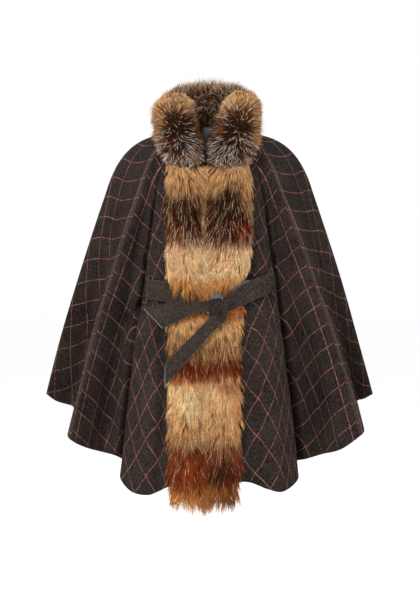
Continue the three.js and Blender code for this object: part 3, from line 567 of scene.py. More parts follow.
def hair_mesh(name, paths, width, colours, material):
    """Locks of hair as closed three-sided spikes: two rings and a point on a bent path. paths is
    locks by three stations, colours the same, and width is that of each lock at its root."""
    count = len(paths)
    along = unit(paths[:, 2] - paths[:, 0])
    side = unit(np.cross(along, unit(paths[:, 1] - (paths[:, 0] + paths[:, 2]) / 2
                                     + np.array([0.013, -0.3, 0.02]))))
    over = np.cross(side, along)
    angle = np.radians([90, 210, 330])
    ring = (np.cos(angle)[:, None, None] * side + np.sin(angle)[:, None, None] * over)
    half = width[:, None] / 2
    verts = np.concatenate([
        (paths[:, 0] + ring * half).transpose(1, 0, 2),
        (paths[:, 1] + ring * half * 0.78).transpose(1, 0, 2),
        paths[:, 2][:, None]], axis=1).reshape(-1, 3)
    shape = np.array([[0, 1, 4], [0, 4, 3], [1, 2, 5], [1, 5, 4], [2, 0, 3], [2, 3, 5],
                      [3, 4, 6], [4, 5, 6], [5, 3, 6], [0, 2, 1]])
    faces = (np.arange(count)[:, None, None] * 7 + shape).reshape(-1, 3)
    made = mesh_object(name, verts, faces, material)
    tone = np.concatenate([np.repeat(colours[:, [0]], 3, 1), np.repeat(colours[:, [1]], 3, 1),
                           colours[:, [2]]], axis=1).reshape(-1, 3)
    layer = made.data.attributes.new("hair", "FLOAT_COLOR", "POINT")
    layer.data.foreach_set("color", np.concatenate([tone, np.ones((len(tone), 1))], 1)
                           .astype(np.float32).ravel())
    return made


def linear(rgb):
    """Display colour, 0 to 255, as linear light."""
    c = np.asarray(rgb, float) / 255
    return np.where(c <= 0.04045, c / 12.92, ((c + 0.055) / 1.055) ** 2.4)


# Fur on the front bands from top to bottom: name, height, colour at the roots, in the middle of the
# lock, at the tip, and the shares of locks with a pale tip and of dark locks
BAND_TONES = (
    ("under_collar", -56, (60, 36, 24), (130, 92, 62), (190, 150, 112), 0.20, 0.16),
    ("tan_top", -80, (120, 76, 44), (196, 144, 92), (232, 186, 132), 0.06, 0.10),
    ("tan_low", -128, (110, 68, 38), (180, 128, 80), (220, 170, 116), 0.08, 0.14),
    ("dark_top", -160, (22, 12, 8), (62, 32, 19), (118, 72, 42), 0.10, 0.24),
    ("dark_middle", -205, (17, 8, 6), (52, 23, 12), (98, 48, 26), 0.13, 0.24),
    ("dark_low", -258, (22, 11, 8), (72, 34, 20), (128, 76, 46), 0.17, 0.24),
    ("light_top", -280, (170, 116, 72), (230, 182, 132), (246, 210, 168), 0.04, 0.02),
    ("light_low", -335, (180, 122, 74), (240, 190, 134), (250, 214, 166), 0.02, 0.01),
    ("honey", -366, (148, 84, 34), (214, 144, 76), (234, 174, 106), 0.02, 0.05),
    ("belt_shade", -405, (108, 58, 28), (178, 112, 58), (206, 144, 84), 0.04, 0.10),
    ("rust_line", -434, (92, 40, 16), (172, 90, 40), (206, 128, 68), 0.04, 0.12),
    ("gold", -462, (126, 80, 44), (216, 160, 104), (236, 190, 134), 0.05, 0.08),
    ("streaked", -540, (56, 32, 19), (158, 106, 64), (208, 156, 102), 0.07, 0.26),
    ("rust", -564, (46, 14, 6), (104, 38, 13), (132, 56, 22), 0.04, 0.14),
    ("rust_low", -597, (58, 20, 8), (124, 52, 20), (166, 88, 42), 0.04, 0.10),
    ("cream", -614, (196, 138, 86), (248, 198, 142), (252, 218, 170), 0.02, 0.01),
    ("tan_long", -662, (170, 114, 68), (234, 180, 122), (246, 202, 148), 0.05, 0.05),
    ("tan_end", -742, (126, 78, 44), (204, 148, 92), (224, 174, 118), 0.08, 0.12),
    ("brown", -766, (66, 35, 18), (138, 84, 46), (174, 116, 68), 0.10, 0.16),
    ("last_rust", -790, (50, 17, 6), (120, 47, 16), (150, 70, 30), 0.05, 0.12),
    ("last_low", -846, (56, 21, 8), (126, 54, 20), (164, 88, 42), 0.04, 0.10),
    ("tips", -890, (100, 50, 20), (176, 104, 50), (208, 144, 82), 0.04, 0.06),
)
# Patches of another colour, seen from the front: name, x, z, half width, half height, colour of the
# middle of the lock, and how strongly it takes over
BAND_PATCHES = (
    ("seam_tan_left", -18, -176, 9, 84, (168, 124, 82), 0.55),
    ("left_rust", -82, -214, 34, 34, (104, 46, 22), 0.60),
    ("left_core", -52, -178, 30, 26, (52, 30, 20), 0.60),
    ("right_core", 52, -146, 32, 44, (54, 34, 24), 0.80),
    ("right_top", 40, -82, 54, 18, (192, 140, 84), 0.50),
    ("right_rim", 98, -120, 16, 52, (180, 132, 84), 0.70),
    ("right_rust", 86, -214, 26, 26, (128, 48, 20), 0.80),
    ("right_low", 28, -236, 36, 22, (78, 44, 28), 0.50),
    ("peach_middle", -8, -316, 40, 26, (232, 188, 140), 0.45),
    ("left_gold", -78, -350, 26, 18, (208, 140, 72), 0.45),
    ("lower_rust_left", -50, -584, 44, 12, (138, 56, 20), 0.55),
    ("lower_rust_right", 52, -600, 40, 15, (134, 56, 20), 0.70),
    ("cream_left", -50, -640, 24, 34, (250, 212, 164), 0.60),
    ("gold_right", 72, -650, 16, 60, (196, 124, 62), 0.50),
    ("grey_streaks", -8, -735, 70, 16, (176, 134, 96), 0.45),
    ("lower_dark_right", 34, -810, 44, 36, (72, 38, 22), 0.80),
    ("lower_rust_low", -56, -806, 36, 30, (140, 60, 24), 0.60),
    ("tips_left_gold", -66, -886, 40, 20, (214, 158, 88), 0.70),
    ("tips_right_dark", 40, -872, 44, 26, (104, 60, 32), 0.60),
)


def toned(heights, table):
    """Colours of locks at given heights, three for each, from a table of named bands, and the
    shares of pale and of dark locks there."""
    z = [row[1] for row in table]
    tones = [np.stack([eased(heights, z, [linear(row[k])[c] for row in table]) for c in range(3)], -1)
             for k in (2, 3, 4)]
    return np.stack(tones, 1), [eased(heights, z, [row[k] for row in table]) for k in (5, 6)]


def patched(tones, x, z, table):
    """The same colours with the patches laid over them, each a soft-edged ellipse."""
    for _, mid_x, mid_z, wide, high, rgb, strength in table:
        away = np.hypot((x - mid_x) / wide, (z - mid_z) / high)
        share = strength * (1 - smooth((away - 0.55) / 0.75))
        patch = linear(rgb) * np.array([0.42, 1.0, 1.55])[:, None]
        tones = lerp(tones, patch, share[:, None, None])
    return tones


DARK_LOCK = (22, 11, 8)
LOCK_SPREAD = 0.20


def varied(tones, shares, shared, seed, pale, reach):
    """The same colours made uneven from tuft to tuft and from lock to lock, with painted shade at the
    rim of each tuft, where the gaps between tufts lie, and some locks pale at the tip and others dark.
    shared holds the tuft's random tone and the lock's way out from the tuft's middle. Gives back the pale
    locks too."""
    random = np.random.default_rng(seed)
    count = len(tones)
    mixed = np.clip(shares[1] * 5, 0, 1)
    level = (0.14 + 0.34 * mixed) * shared[0] + 0.06
    # painted shade: locks further out from the tuft's middle are darker, standing in for the shade
    # between tufts
    level -= (0.12 + 0.5 * mixed) * np.clip(shared[1] - 0.35, 0, 1)
    tones = tones * np.exp(random.normal(0, LOCK_SPREAD, count) + level)[:, None, None]
    pick = random.random(count)
    own = pick < shares[0]
    tones[own, 2] = linear(pale)
    tones[own, 1] = lerp(tones[own, 1], linear(pale), reach)
    darker = pick > 1 - shares[1]
    tones[darker, 1:] = lerp(tones[darker, 1:], linear(DARK_LOCK), 0.80)
    tones[:, 0] *= (1 - 0.45 * mixed)[:, None]
    return np.clip(tones, 0.003, 0.97), own


TUFT = 9.5


def tufts(across, down, seed, size=TUFT):
    """The tuft each lock grows in: a cell of a wavy brick pattern over its root. Gives the root's
    place in the cell, from -1/2 to 1/2 both ways, and six random numbers that the tuft shares."""
    a = across / size + 0.5 * np.sin(down / 21 + seed) + 0.25 * np.sin(across / 13 + down / 9)
    b = down / size + 0.5 * np.sin(across / 17 + seed) + 0.25 * np.sin(across / 11 - down / 14)
    row = np.floor(b)
    a = a + 0.5 * (row % 2)
    number = (np.floor(a) * 197 + row * 811).astype(int) % 9973
    shared = np.random.default_rng(seed).uniform(-1, 1, (6, 9973))[:, number]
    return np.stack([a - np.floor(a) - 0.5, b - row - 0.5]), shared


# How each fur's locks are coloured: scatter of the bands in millimetres, which of a tuft's numbers
# moves the patches and how far, the seed, the colour of pale tips and how far they reach down the
# lock, the width of a lock at its root, and how much wider a pale one is
LOOKS = {
    "band": {"scatter": 5, "patch_by": 5, "patch_move": 6, "seed": 21, "pale": (240, 206, 166),
             "reach": 0.34, "width": (0.8, 1.9), "pale_wider": 0.35},
    "roll": {"scatter": 6, "patch_by": 4, "patch_move": 6, "seed": 41, "pale": (252, 238, 222),
             "reach": 0.35, "width": (0.8, 1.9), "pale_wider": 0.35},
    "ring": {"scatter": 9, "patch_by": 4, "patch_move": 0, "seed": 61, "pale": (226, 202, 172),
             "reach": 0.34, "width": (0.9, 2.1), "pale_wider": 0.30},
}
TUFT_SHIFT = 9              # most that a whole tuft's colour bands are moved up or down
TIP_DRAW = TUFT * 0.8       # how far the tips of a tuft draw together


def coloured_hair(name, look, paths, tuft, bands, patches, random, material):
    """The locks of one fur as a mesh, coloured by bands over the heights of their tips and by patches
    over their middles, then made uneven, with painted shade at the rims of tufts."""
    look = LOOKS[look]
    off, shared = tuft
    count = len(paths)
    tones, shares = toned(paths[:, 2, 2] + shared[5] * TUFT_SHIFT
                          + random.normal(0, look["scatter"], count), bands)
    moved = paths[:, 1, 2] + shared[look["patch_by"]] * look["patch_move"]
    tones = patched(tones, paths[:, 1, 0], moved, patches)
    # way out from the tuft's middle, which sets the painted shade at the tuft's rim
    rim = np.hypot(*off) * 1.6
    tones, pale = varied(tones, shares, (shared[3], rim), look["seed"], look["pale"], look["reach"])
    width = random.uniform(*look["width"], count) * (1 + look["pale_wider"] * pale)
    return hair_mesh(name, paths, width, tones, material)


def belt_height(side, x):
    """Height of the belt's middle on a fur band."""
    f = np.abs(x - CLOSING_X) / BELT_DENT["edge_out"]
    return lerp(BELT_DENT["closing_z"], BELT_DENT["edge_z"][side], f)


def band_dent(side, x, z):
    """Share of the hair's thickness that belt and knot press away: flat-bottomed bells."""
    belt = BELT_DENT["depth"] * np.exp(-((z - belt_height(side, x)) / BELT_DENT["reach"]) ** 4)
    away = np.hypot(x - KNOT_DENT["x"], z - KNOT_DENT["z"]) / KNOT_DENT["reach"]
    return np.maximum(belt, KNOT_DENT["depth"] * np.exp(-away ** 4))


def band_grid(side, rows=110, columns=25):
    """Back of a fur band, its face pressed in by the belt, and its face without the belt, as grids
    of points: the back lies on the front panel, and a face stands off it by the fourth-power
    cushion profile of the band's thickness, kept full where the two bands meet."""
    start = float(row_at_height(side, np.array(0.0), FUR_TOP_Z))
    row = np.linspace(start, HEM_ROW + 1, rows)
    z = cloth_point(side, np.zeros(rows), row)[:, 2]
    heights = [r[0] for r in FUR_ROWS]
    width = eased(z, heights, [r[1 if side == "left" else 2] for r in FUR_ROWS])
    full = eased(z, heights, [r[3] for r in FUR_ROWS])
    end = u_at_width(side, row, width)
    f = np.linspace(0, 1, columns)
    u, row = end[:, None] * f, np.repeat(row[:, None], columns, 1)
    back = cloth_point(side, u, row) + cloth_normal(side, u, row) * FUR_LIFT
    back[:, 0, 0] = CLOSING_X + SIDES[side] * SEAM_GAP / 2
    back[..., 1] -= 1.0
    swell = np.sqrt(np.clip(1 - (2 * f - 1) ** 4, 0, 1))
    swell = np.maximum(swell, lerp(0.84, 0.0, smooth((f - 0.2) / 0.3)))
    faces = []
    for dent in (band_dent(side, back[..., 0], back[..., 2]), np.zeros(back.shape[:2])):
        thick = full[:, None] * (1 - dent)
        face = back.copy()
        face[..., 1] -= 5 + (thick - 5) * swell
        faces.append(face)
    return back, faces[0], faces[1]


def fur_band(side, count, material, skin_material):
    """A front band of hair: locks that start inside the cushion, run down and away from its
    middle, and end at its face, following the form so that the belt presses them flat. The tips
    of a tuft draw together."""
    random = np.random.default_rng(11 if side == "left" else 12)
    back, face, free = band_grid(side)
    rows, columns = back.shape[:2]
    down = running_length(face[:, columns // 2])
    length_all = down[-1]
    width = np.abs(back[:, -1, 0] - back[:, 0, 0])
    start = random.uniform(-26, length_all - 40, count)
    across = random.uniform(0.02, 0.95, count)
    off, shared = tufts(across * 100, start, 5 if side == "left" else 6)
    length = (random.normal(44, 6, count) * (1 + 0.22 * shared[1])).clip(24, 66)
    lean = np.radians(lerp(-26, 36, smooth(across)) + random.normal(0, 6, count) + 15 * shared[0])
    outer = np.clip(across - 0.80, 0, 1) / 0.2
    root = bilinear(back, np.interp(start, down, np.arange(rows)), across * (columns - 1))
    belt_z = belt_height(side, root[:, 0])
    over = smooth((root[:, 2] - belt_z - 30) / 12)[:, None]
    wander, stray = random.normal(0, 1, count), random.random(count) < 0.10
    paths = []
    for t, depth in ((0.0, 0.40), (0.5, 0.84), (1.0, 1.00)):
        v = start + np.cos(lean) * length * t - off[1] * TIP_DRAW * t * t
        r = np.interp(v, down, np.arange(rows))
        sideways = np.sin(lean) * length * t - off[0] * TIP_DRAW * t * t
        f = across + sideways / np.interp(v, down, width)
        f = np.minimum(f, 0.86 + (f - 0.86) * (0.62 + 0.3 * shared[3]))
        rise = depth + (0.04 * wander + 0.06 * shared[2] + 0.12 * stray) * t
        inside = np.clip(f, 0.0, 1.0)
        low, pressed, full = (bilinear(g, r, inside * (columns - 1)) for g in (back, face, free))
        p = lerp(low, lerp(pressed, full, over), rise[:, None])
        p[:, 0] += SIDES[side] * ((f - inside) * 40 + (1 + 3 * shared[3]) * t * outer)
        above, below = np.maximum(0, -v), np.maximum(0, v - length_all)
        p[:, 1] += above * 0.2
        p[:, 2] += above - below * (0.8 + 0.25 * shared[4])
        paths.append(p)
    paths = np.stack(paths, 1)
    hair = coloured_hair(f"fur_band_{side}", "band", paths, (off, shared), BAND_TONES, BAND_PATCHES,
                         random, material)
    add_skin(hair, band_skin(back, face), skin_material)
    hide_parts(f"fur_{side}")
    return hair


def band_skin(back, face):
    """The closed cushion under the hair: the back and a face at just over half the thickness."""
    inner = lerp(back, face, 0.62)
    last = len(back) - 8
    return tube_between(back[:last], inner[:last])


def tube_between(back, face):
    """Points and faces of a closed body between two grids that share their rows and columns."""
    rows, columns = back.shape[:2]
    keep = np.ones((rows - 1, columns - 1), bool)
    return np.concatenate([face.reshape(-1, 3), back.reshape(-1, 3)]), shell_faces(keep)


def add_skin(hair, skin, material):
    """Joins the skin under the hair to the hair's mesh, with its own material slot."""
    verts, faces = skin
    made = mesh_object(hair.name + "_skin", verts, faces, material)
    join_to(hair, made)


# Hair on the collar

def front_section(side, z):
    """Middle and half sizes of a rolled front of the collar at height z."""
    rows = np.array(COLLAR_FRONTS[side], float)
    flat = np.reshape(z, (-1, 1))
    return [cubic(rows[:, 0], rows[:, [k]], flat).reshape(np.shape(z)) for k in (1, 2, 3, 4)]


def roll_point(side, z, angle, depth):
    """Point of a rolled front: a superellipse round its middle line, scaled by depth."""
    x, y, wide, deep = front_section(side, z)

    def power(v):
        return np.sign(v) * np.abs(v) ** (2 / SQUARENESS)
    return np.stack([x + wide * depth * power(np.cos(angle)), y + deep * depth * power(np.sin(angle)), z],
                    -1)


# Fur on the rolled fronts of the collar, by height, and the core from which the hair fans out
ROLL_TONES = (
    ("crest", 132, (104, 68, 40), (174, 130, 84), (212, 166, 116), 0.05, 0.12),
    ("upper", 104, (92, 58, 33), (162, 116, 73), (204, 156, 106), 0.07, 0.16),
    ("under_crest", 80, (40, 22, 13), (104, 60, 34), (170, 114, 68), 0.04, 0.20),
    ("middle", 34, (18, 10, 7), (54, 29, 17), (104, 60, 35), 0.05, 0.22),
    ("grey_tips", -2, (14, 9, 7), (40, 23, 15), (88, 60, 42), 0.17, 0.24),
    ("foot", -44, (24, 14, 9), (76, 49, 31), (146, 104, 71), 0.19, 0.22),
)
ROLL_PATCHES = {
    "left": (("core", -72, 42, 28, 40, (54, 33, 22), 0.85),
             ("core_low", -62, -8, 26, 20, (44, 27, 20), 0.60),
             ("outer_rim", -132, 50, 18, 70, (172, 124, 78), 0.70),
             ("inner_rim", -34, 10, 14, 50, (120, 84, 60), 0.40),
             ("rust", -102, 8, 22, 26, (110, 50, 24), 0.50)),
    "right": (("core", 58, 38, 30, 36, (60, 32, 20), 0.80),
              ("core_low", 50, -14, 34, 24, (40, 26, 20), 0.60),
              ("core_high", 84, 76, 26, 22, (84, 46, 26), 0.55),
              ("outer_rim", 126, 40, 20, 74, (184, 134, 84), 0.75),
              ("rust", 92, 4, 24, 26, (112, 52, 26), 0.50),
              ("inner_rim", 26, 46, 12, 44, (130, 94, 66), 0.35)),
}
ROLL_CORE = {"left": 46.0, "right": 44.0}


def fur_roll(side, count, material, skin_material):
    """A rolled front of the collar: locks that fan out from a core on the front of the roll, up over
    its crest, down to its foot and back round both sides. The way round is nought at the front, a
    quarter turn on from the polar angle of the section. Some locks at the crest lean inward and
    close it."""
    random = np.random.default_rng(31 if side == "left" else 32)
    rows = np.array(COLLAR_FRONTS[side], float)
    low, high = rows[0, 0] + 6, rows[-1, 0] - 4
    z = random.uniform(low, high, count * 2)
    around = random.uniform(-math.pi, math.pi, count * 2)
    p = roll_point(side, z, around - math.pi / 2, 0.72)
    keep = p[:, 2] > yoke_height(p) + COLLAR_LIFT - 4
    z, around = z[keep][:count], around[keep][:count]
    count = len(z)
    wide = np.maximum(front_section(side, z)[2], 24)
    off, shared = tufts(around * 52, z, 7 if side == "left" else 8)
    length = (random.normal(28, 5, count) * (1 + 0.22 * shared[1])).clip(14, 44)
    out = np.stack([around * wide, z - ROLL_CORE[side]], -1)
    reach = np.linalg.norm(out, axis=-1)
    core = 1 - smooth((reach - 8) / 40)
    any_way = random.uniform(-math.pi, math.pi, count)
    turn = np.arctan2(out[:, 1], out[:, 0]) + 0.50 * shared[0] + random.normal(0, 0.30, count)
    step = np.stack([np.cos(turn), np.sin(turn)], -1) * (1 - core)[:, None]
    step += np.stack([np.cos(any_way) * 0.7, np.sin(any_way) * 0.7 - 0.35], -1) * core[:, None]
    near_top = smooth((z - (high - 40)) / 40)
    length *= (1 - 0.35 * core) * (1 - 0.35 * near_top)
    wander, stray = random.normal(0, 1, count), random.random(count) < 0.14
    inward = (near_top > 0.5) & (random.random(count) < 0.6)
    paths = []
    for t, depth in ((0.0, 0.56), (0.5, 0.84), (1.0, 1.02)):
        dz = step[:, 1] * length * t - off[1] * TIP_DRAW * t * t
        da = (step[:, 0] * length * t - off[0] * TIP_DRAW * t * t) / wide
        at = np.clip(z + dz, rows[0, 0], rows[-1, 0] - 3)
        lift = (0.03 * wander + 0.06 * shared[2] + 0.16 * near_top + 0.11 * stray) * t
        lift = np.where(inward, -(0.7 + 0.25 * shared[3]) * t - 0.1, lift)
        at = np.where(inward, lerp(at, rows[-1, 0] - 3, t), at)
        q = roll_point(side, at, around + da - math.pi / 2, depth + lift)
        q[:, 2] += np.where(inward, 8 * t, np.minimum(z + dz - at, 4 + 3 * shared[2]))
        paths.append(q)
    paths = np.stack(paths, 1)
    hair = coloured_hair(f"fur_collar_{side}", "roll", paths, (off, shared), ROLL_TONES,
                         ROLL_PATCHES[side], random, material)
    zs, turns = np.linspace(rows[0, 0] + 4, rows[-1, 0] - 6, 26), np.linspace(0, 2 * math.pi, 33)
    grid = roll_point(side, *np.meshgrid(zs, turns, indexing="ij"), 0.72)
    add_skin(hair, closed_tube(grid[:, :-1]), skin_material)
    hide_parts(f"collar_{side}")
    return hair


def closed_tube(rings):
    """Points and faces of a tube of closed rings, each end drawn together to its middle."""
    ends = [np.repeat(rings[[k]].mean(1, keepdims=True), rings.shape[1], 1) for k in (0, -1)]
    near = [lerp(ends[0], rings[[0]], 0.02), lerp(ends[1], rings[[-1]], 0.02)]
    rings = np.concatenate([near[0], rings, near[1]])
    rows, columns = rings.shape[:2]
    number = np.arange(rows * columns).reshape(rows, columns)
    right = np.roll(number, -1, axis=1)
    faces = np.stack([number[:-1], right[:-1], right[1:], number[1:]], -1).reshape(-1, 4)
    return rings.reshape(-1, 3), faces


def yoke_grid(side, turns, radii):
    """Heights of the cloth's middle on a polar grid round the neck, by halving twice."""
    angle, reach = np.meshgrid(np.radians(turns), radii, indexing="ij")
    near, far = np.zeros(angle.shape), np.full(angle.shape, float(ROLL_END))

    def at(row):
        low, high = np.zeros(angle.shape), np.full(angle.shape, KNOTS[side][-1])
        for _ in range(16):
            middle = (low + high) / 2
            p = cloth_point(side, middle, row)
            short = np.arctan2(SIDES[side] * p[..., 0], NECK["centre_y"] - p[..., 1]) < angle
            low, high = np.where(short, middle, low), np.where(short, high, middle)
        return cloth_point(side, low, row)
    for _ in range(12):
        middle = (near + far) / 2
        p = at(middle)
        inside = np.hypot(p[..., 0], p[..., 1] - NECK["centre_y"]) < reach
        near, far = np.where(inside, middle, near), np.where(inside, far, middle)
    return at(near)[..., 2]


YOKE_TURNS, YOKE_RADII = np.linspace(0, 180, 46), np.linspace(56, 190, 34)
YOKE = {side: yoke_grid(side, YOKE_TURNS, YOKE_RADII) for side in SIDES}


def yoke_height(points):
    """Height of the cloth below points near the neck, read from the polar grid."""
    x, y = points[..., 0], points[..., 1]
    r = (np.hypot(x, y - NECK["centre_y"]) - YOKE_RADII[0]) / (YOKE_RADII[1] - YOKE_RADII[0])
    t = np.degrees(np.arctan2(np.abs(x), NECK["centre_y"] - y)) / (YOKE_TURNS[1] - YOKE_TURNS[0])
    return np.where(x < 0, bilinear(YOKE["left"], t, r), bilinear(YOKE["right"], t, r))


def ring_point(turn, angle, depth):
    """Point of the standing ring: an ellipse of the ring's thickness, from the cloth to its top."""
    place = np.minimum(turn, 360 - turn)
    turns = [row[0] for row in COLLAR_ROWS]
    radius, high, thick = (eased(place, turns, [row[k] for row in COLLAR_ROWS]) for k in (1, 2, 3))
    r = radius + np.cos(angle) * thick / 2 * depth
    a = np.radians(turn)
    p = np.stack([-r * np.sin(a), NECK["centre_y"] - r * np.cos(a), np.zeros(r.shape)], -1)
    low = yoke_height(p) + COLLAR_LIFT
    p[..., 2] = lerp(low, high, 0.5 + np.sin(angle) / 2 * depth)
    return p


RING_TONES = (
    ("top", 196, (46, 28, 18), (96, 64, 42), (148, 108, 74), 0.16, 0.18),
    ("upper", 160, (28, 17, 12), (74, 47, 31), (136, 96, 66), 0.18, 0.20),
    ("middle", 110, (22, 14, 10), (62, 42, 30), (120, 88, 64), 0.20, 0.20),
    ("low", 50, (26, 17, 12), (70, 48, 35), (140, 106, 80), 0.18, 0.18),
)
RING_PATCHES = (("left_corner", -118, 128, 34, 44, (124, 78, 44), 0.55),
                ("right_corner", 116, 132, 36, 44, (132, 84, 46), 0.60))


def fur_ring(count, material, skin_material):
    """The standing ring of the collar: locks that run up over its crest and down both sides."""
    random = np.random.default_rng(51)
    turn = random.uniform(COLLAR_FROM + 1, 359 - COLLAR_FROM, count)
    angle = random.uniform(-math.pi, math.pi, count)
    off, shared = tufts(turn * 1.85, angle * 62, 9)
    length = (random.normal(22, 5, count) * (1 + 0.25 * shared[1])).clip(11, 34)
    flow = np.where(np.abs(angle) < math.pi / 2, -1.0, 1.0)
    near_top = smooth((np.sin(angle) - 0.55) / 0.35)
    lean = random.normal(0, 0.8, count) + 1.3 * shared[0]
    wander, stray = random.normal(0, 1, count), random.random(count) < 0.14
    middle = smooth(1 - np.abs(turn - 180) / 80)
    paths = []
    for t, depth in ((0.0, 0.58), (0.5, 0.86), (1.0, 1.02)):
        a = angle + flow * length * t * lerp(1.0, -0.25, near_top) / 72 - off[1] * TUFT / 78 * t * t
        b = turn + np.degrees(length * t * lean / 110) - off[0] * TUFT / 2.3 * t * t
        lift = (0.03 * wander + 0.06 * shared[2] + 0.10 * stray) * t
        p = ring_point(b, a, depth + lift)
        p[:, 2] += (4 + 8 * middle) * near_top * t * t
        paths.append(p)
    paths = np.stack(paths, 1)
    hair = coloured_hair("fur_collar_back", "ring", paths, (off, shared), RING_TONES, RING_PATCHES,
                         random, material)
    turns, around = np.linspace(COLLAR_FROM, 360 - COLLAR_FROM, 60), np.linspace(0, 2 * math.pi, 33)
    grid = ring_point(*np.meshgrid(turns, around, indexing="ij"), 0.82)
    add_skin(hair, closed_tube(grid[:, :-1]), skin_material)
    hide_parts("collar_back")
    return hair


# Belt

def spline(points, steps):
    """Places along the centripetal curve through points, evenly by span."""
    p = np.asarray(points, float)
    p = np.concatenate([[2 * p[0] - p[1]], p, [2 * p[-1] - p[-2]]])
    t = np.linspace(0, len(points) - 1, steps + 1)
    i = np.minimum(t.astype(int), len(points) - 2)
    f = (t - i)[:, None]
    d = [np.sqrt(np.linalg.norm(p[i + k + 1] - p[i + k], axis=1))[:, None] for k in range(3)]
    a, b, c, e = (p[i + k] for k in range(4))
    m1 = ((b - a) / d[0] - (c - a) / (d[0] + d[1]) + (c - b) / d[1]) * d[1]
    m2 = ((c - b) / d[1] - (e - b) / (d[1] + d[2]) + (e - c) / d[2]) * d[1]
    return (b * (2 * f ** 3 - 3 * f ** 2 + 1) + m1 * (f ** 3 - 2 * f ** 2 + f)
            + c * (3 * f ** 2 - 2 * f ** 3) + m2 * (f ** 3 - f ** 2))


def strip(name, upper, lower, steps, material, bow=1.5, thick=BELT_THICK, across=10, cut_end=False):
    """A belt strip between two edges: straight across, bowed a little, with rounded long edges."""
    top, low = spline(upper, steps), spline(lower, steps)
    along = np.gradient(top, axis=0) + np.gradient(low, axis=0)
    normal = unit(np.cross(along, low - top))
    f = np.linspace(0, 1, across + 1)[None, :, None]
    middle = lerp(top[:, None], low[:, None], f)
    half = thick / 2 * np.sqrt(np.clip(1 - (2 * f - 1) ** 8, 0.12, 1))
    raised = bow * np.sin(np.pi * f)
    outer, inner = middle + normal[:, None] * (raised + half), middle + normal[:, None] * (raised - half)
    faces = shell_faces(np.ones((steps, across), bool))
    made = mesh_object(name, np.concatenate([outer.reshape(-1, 3), inner.reshape(-1, 3)]), faces,
                       material, sharp=60)
    run = running_length((top + low) / 2)
    wide = np.linalg.norm(low - top, axis=1)
    places = np.stack(np.broadcast_arrays(run[:, None], f[..., 0] * wide[:, None]), -1).reshape(-1, 2)
    add_map(made, "strip", np.concatenate([places, places]) * MM)
    side_away = np.minimum(f[..., 0], 1 - f[..., 0]) * wide[:, None]
    end_away = (run[-1] - run if cut_end else np.full(run.shape, 900.0))[:, None]
    rims = np.stack(np.broadcast_arrays(side_away, end_away), -1).reshape(-1, 2)
    add_map(made, "rims", np.concatenate([rims, rims]) * MM)
    mend_normals(made)
    return made


def mend_normals(made):
    """Turns the faces outward where the body comes out inside out."""
    work = bmesh.new()
    work.from_mesh(made.data)
    bmesh.ops.recalc_face_normals(work, faces=work.faces)
    work.to_mesh(made.data)
    work.free()


def edges_in_front(table):
    """Upper and lower edge of a strip, from a table of places x, z and lifts before the cloth."""
    edges = []
    for rows in (table["upper"], table["lower"]):
        x, z, lift = np.array(rows, float).T
        edges.append([tuple(p) for p in np.stack([x, front_depth(x, z) - lift, z], -1)])
    return edges


def belt_stretch(name, material, backing):
    """One stretch of the belt in front of the cloth, led through its slit where it has one."""
    stretch = BELT_STRETCHES[name]
    edges = edges_in_front(stretch)
    if stretch["slit"]:
        place = slit_place(stretch["slit"])
        for depth in (SLIT_OUTSIDE, SLIT_INSIDE):
            middle = place["point"] + place["normal"] * depth
            for edge, sign in zip(edges, (1, -1)):
                edge.insert(0, tuple(middle + sign * place["up"] * BELT_WIDTH / 2))
    made = strip(name + "_wool", edges[0], edges[1], 60, material, cut_end="tail" in name)
    if name == "belt_right":
        join_to(made, laid_strip("belt_fold", BELT_FOLD, material))
        join_to(made, laid_strip("belt_backing", BACKING["right"], backing))
    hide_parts(name)
    return made


BELT_FOLD = {"upper": ((40, -382, 27), (62, -366, 31), (84, -350, 32), (110, -338, 28)),
             "lower": ((34, -410, 27), (62, -394, 32), (92, -372, 34), (122, -346, 26))}
KNOT_WRAP = {"upper": ((0, -404, 42), (8, -389, 52), (26, -385, 56), (43, -398, 55), (46, -420, 53),
                       (35, -447, 44)),
             "lower": ((10, -415, 46), (14, -403, 56), (24, -400, 60), (31, -408, 59), (31, -423, 57),
                       (23, -438, 48))}
# The belt's grey backing, where it shows
BACKING = {"right": {"upper": ((50, -366, 18), (76, -348, 24), (100, -338, 22)),
                     "lower": ((54, -376, 22), (80, -358, 27), (101, -346, 26))},
           "top": {"upper": ((-10, -384, 22), (8, -373, 28), (34, -376, 28)),
                   "lower": ((-4, -392, 26), (12, -386, 32), (34, -388, 32))},
           "low": {"upper": ((-12, -412, 34), (0, -406, 38), (10, -408, 40)),
                   "lower": ((-6, -422, 38), (2, -422, 42), (10, -422, 44))}}


def laid_strip(name, table, material, steps=30):
    """A narrow strip that lies in front of the rest of the belt."""
    return strip(name, *edges_in_front(table), steps, material, bow=2.0, thick=2.4)


def join_to(whole, part):
    """Makes a mesh part of another piece."""
    with bpy.context.temp_override(active_object=whole, selected_editable_objects=[whole, part]):
        bpy.ops.object.join()


def waist_loop(material):
    """The stretch behind the fronts, from just inside one slit round to the other."""
    edges = []
    for half in (BELT_WIDTH / 2, -BELT_WIDTH / 2):
        ends = []
        for side in SIDES:
            place = slit_place(side)
            ends.append([tuple(place["point"] + place["normal"] * d + place["up"] * half)
                         for d in (SLIT_INSIDE - SEAM_GAP, SLIT_INSIDE - 9)])
        round_points = [(x, y, z + half) for x, y, z in WAIST_LOOP]
        edges.append(ends[0] + round_points + ends[1][::-1])
    made = strip("belt_inside_wool", edges[0], edges[1], 120, material, bow=0)
    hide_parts("belt_inside")
    return made


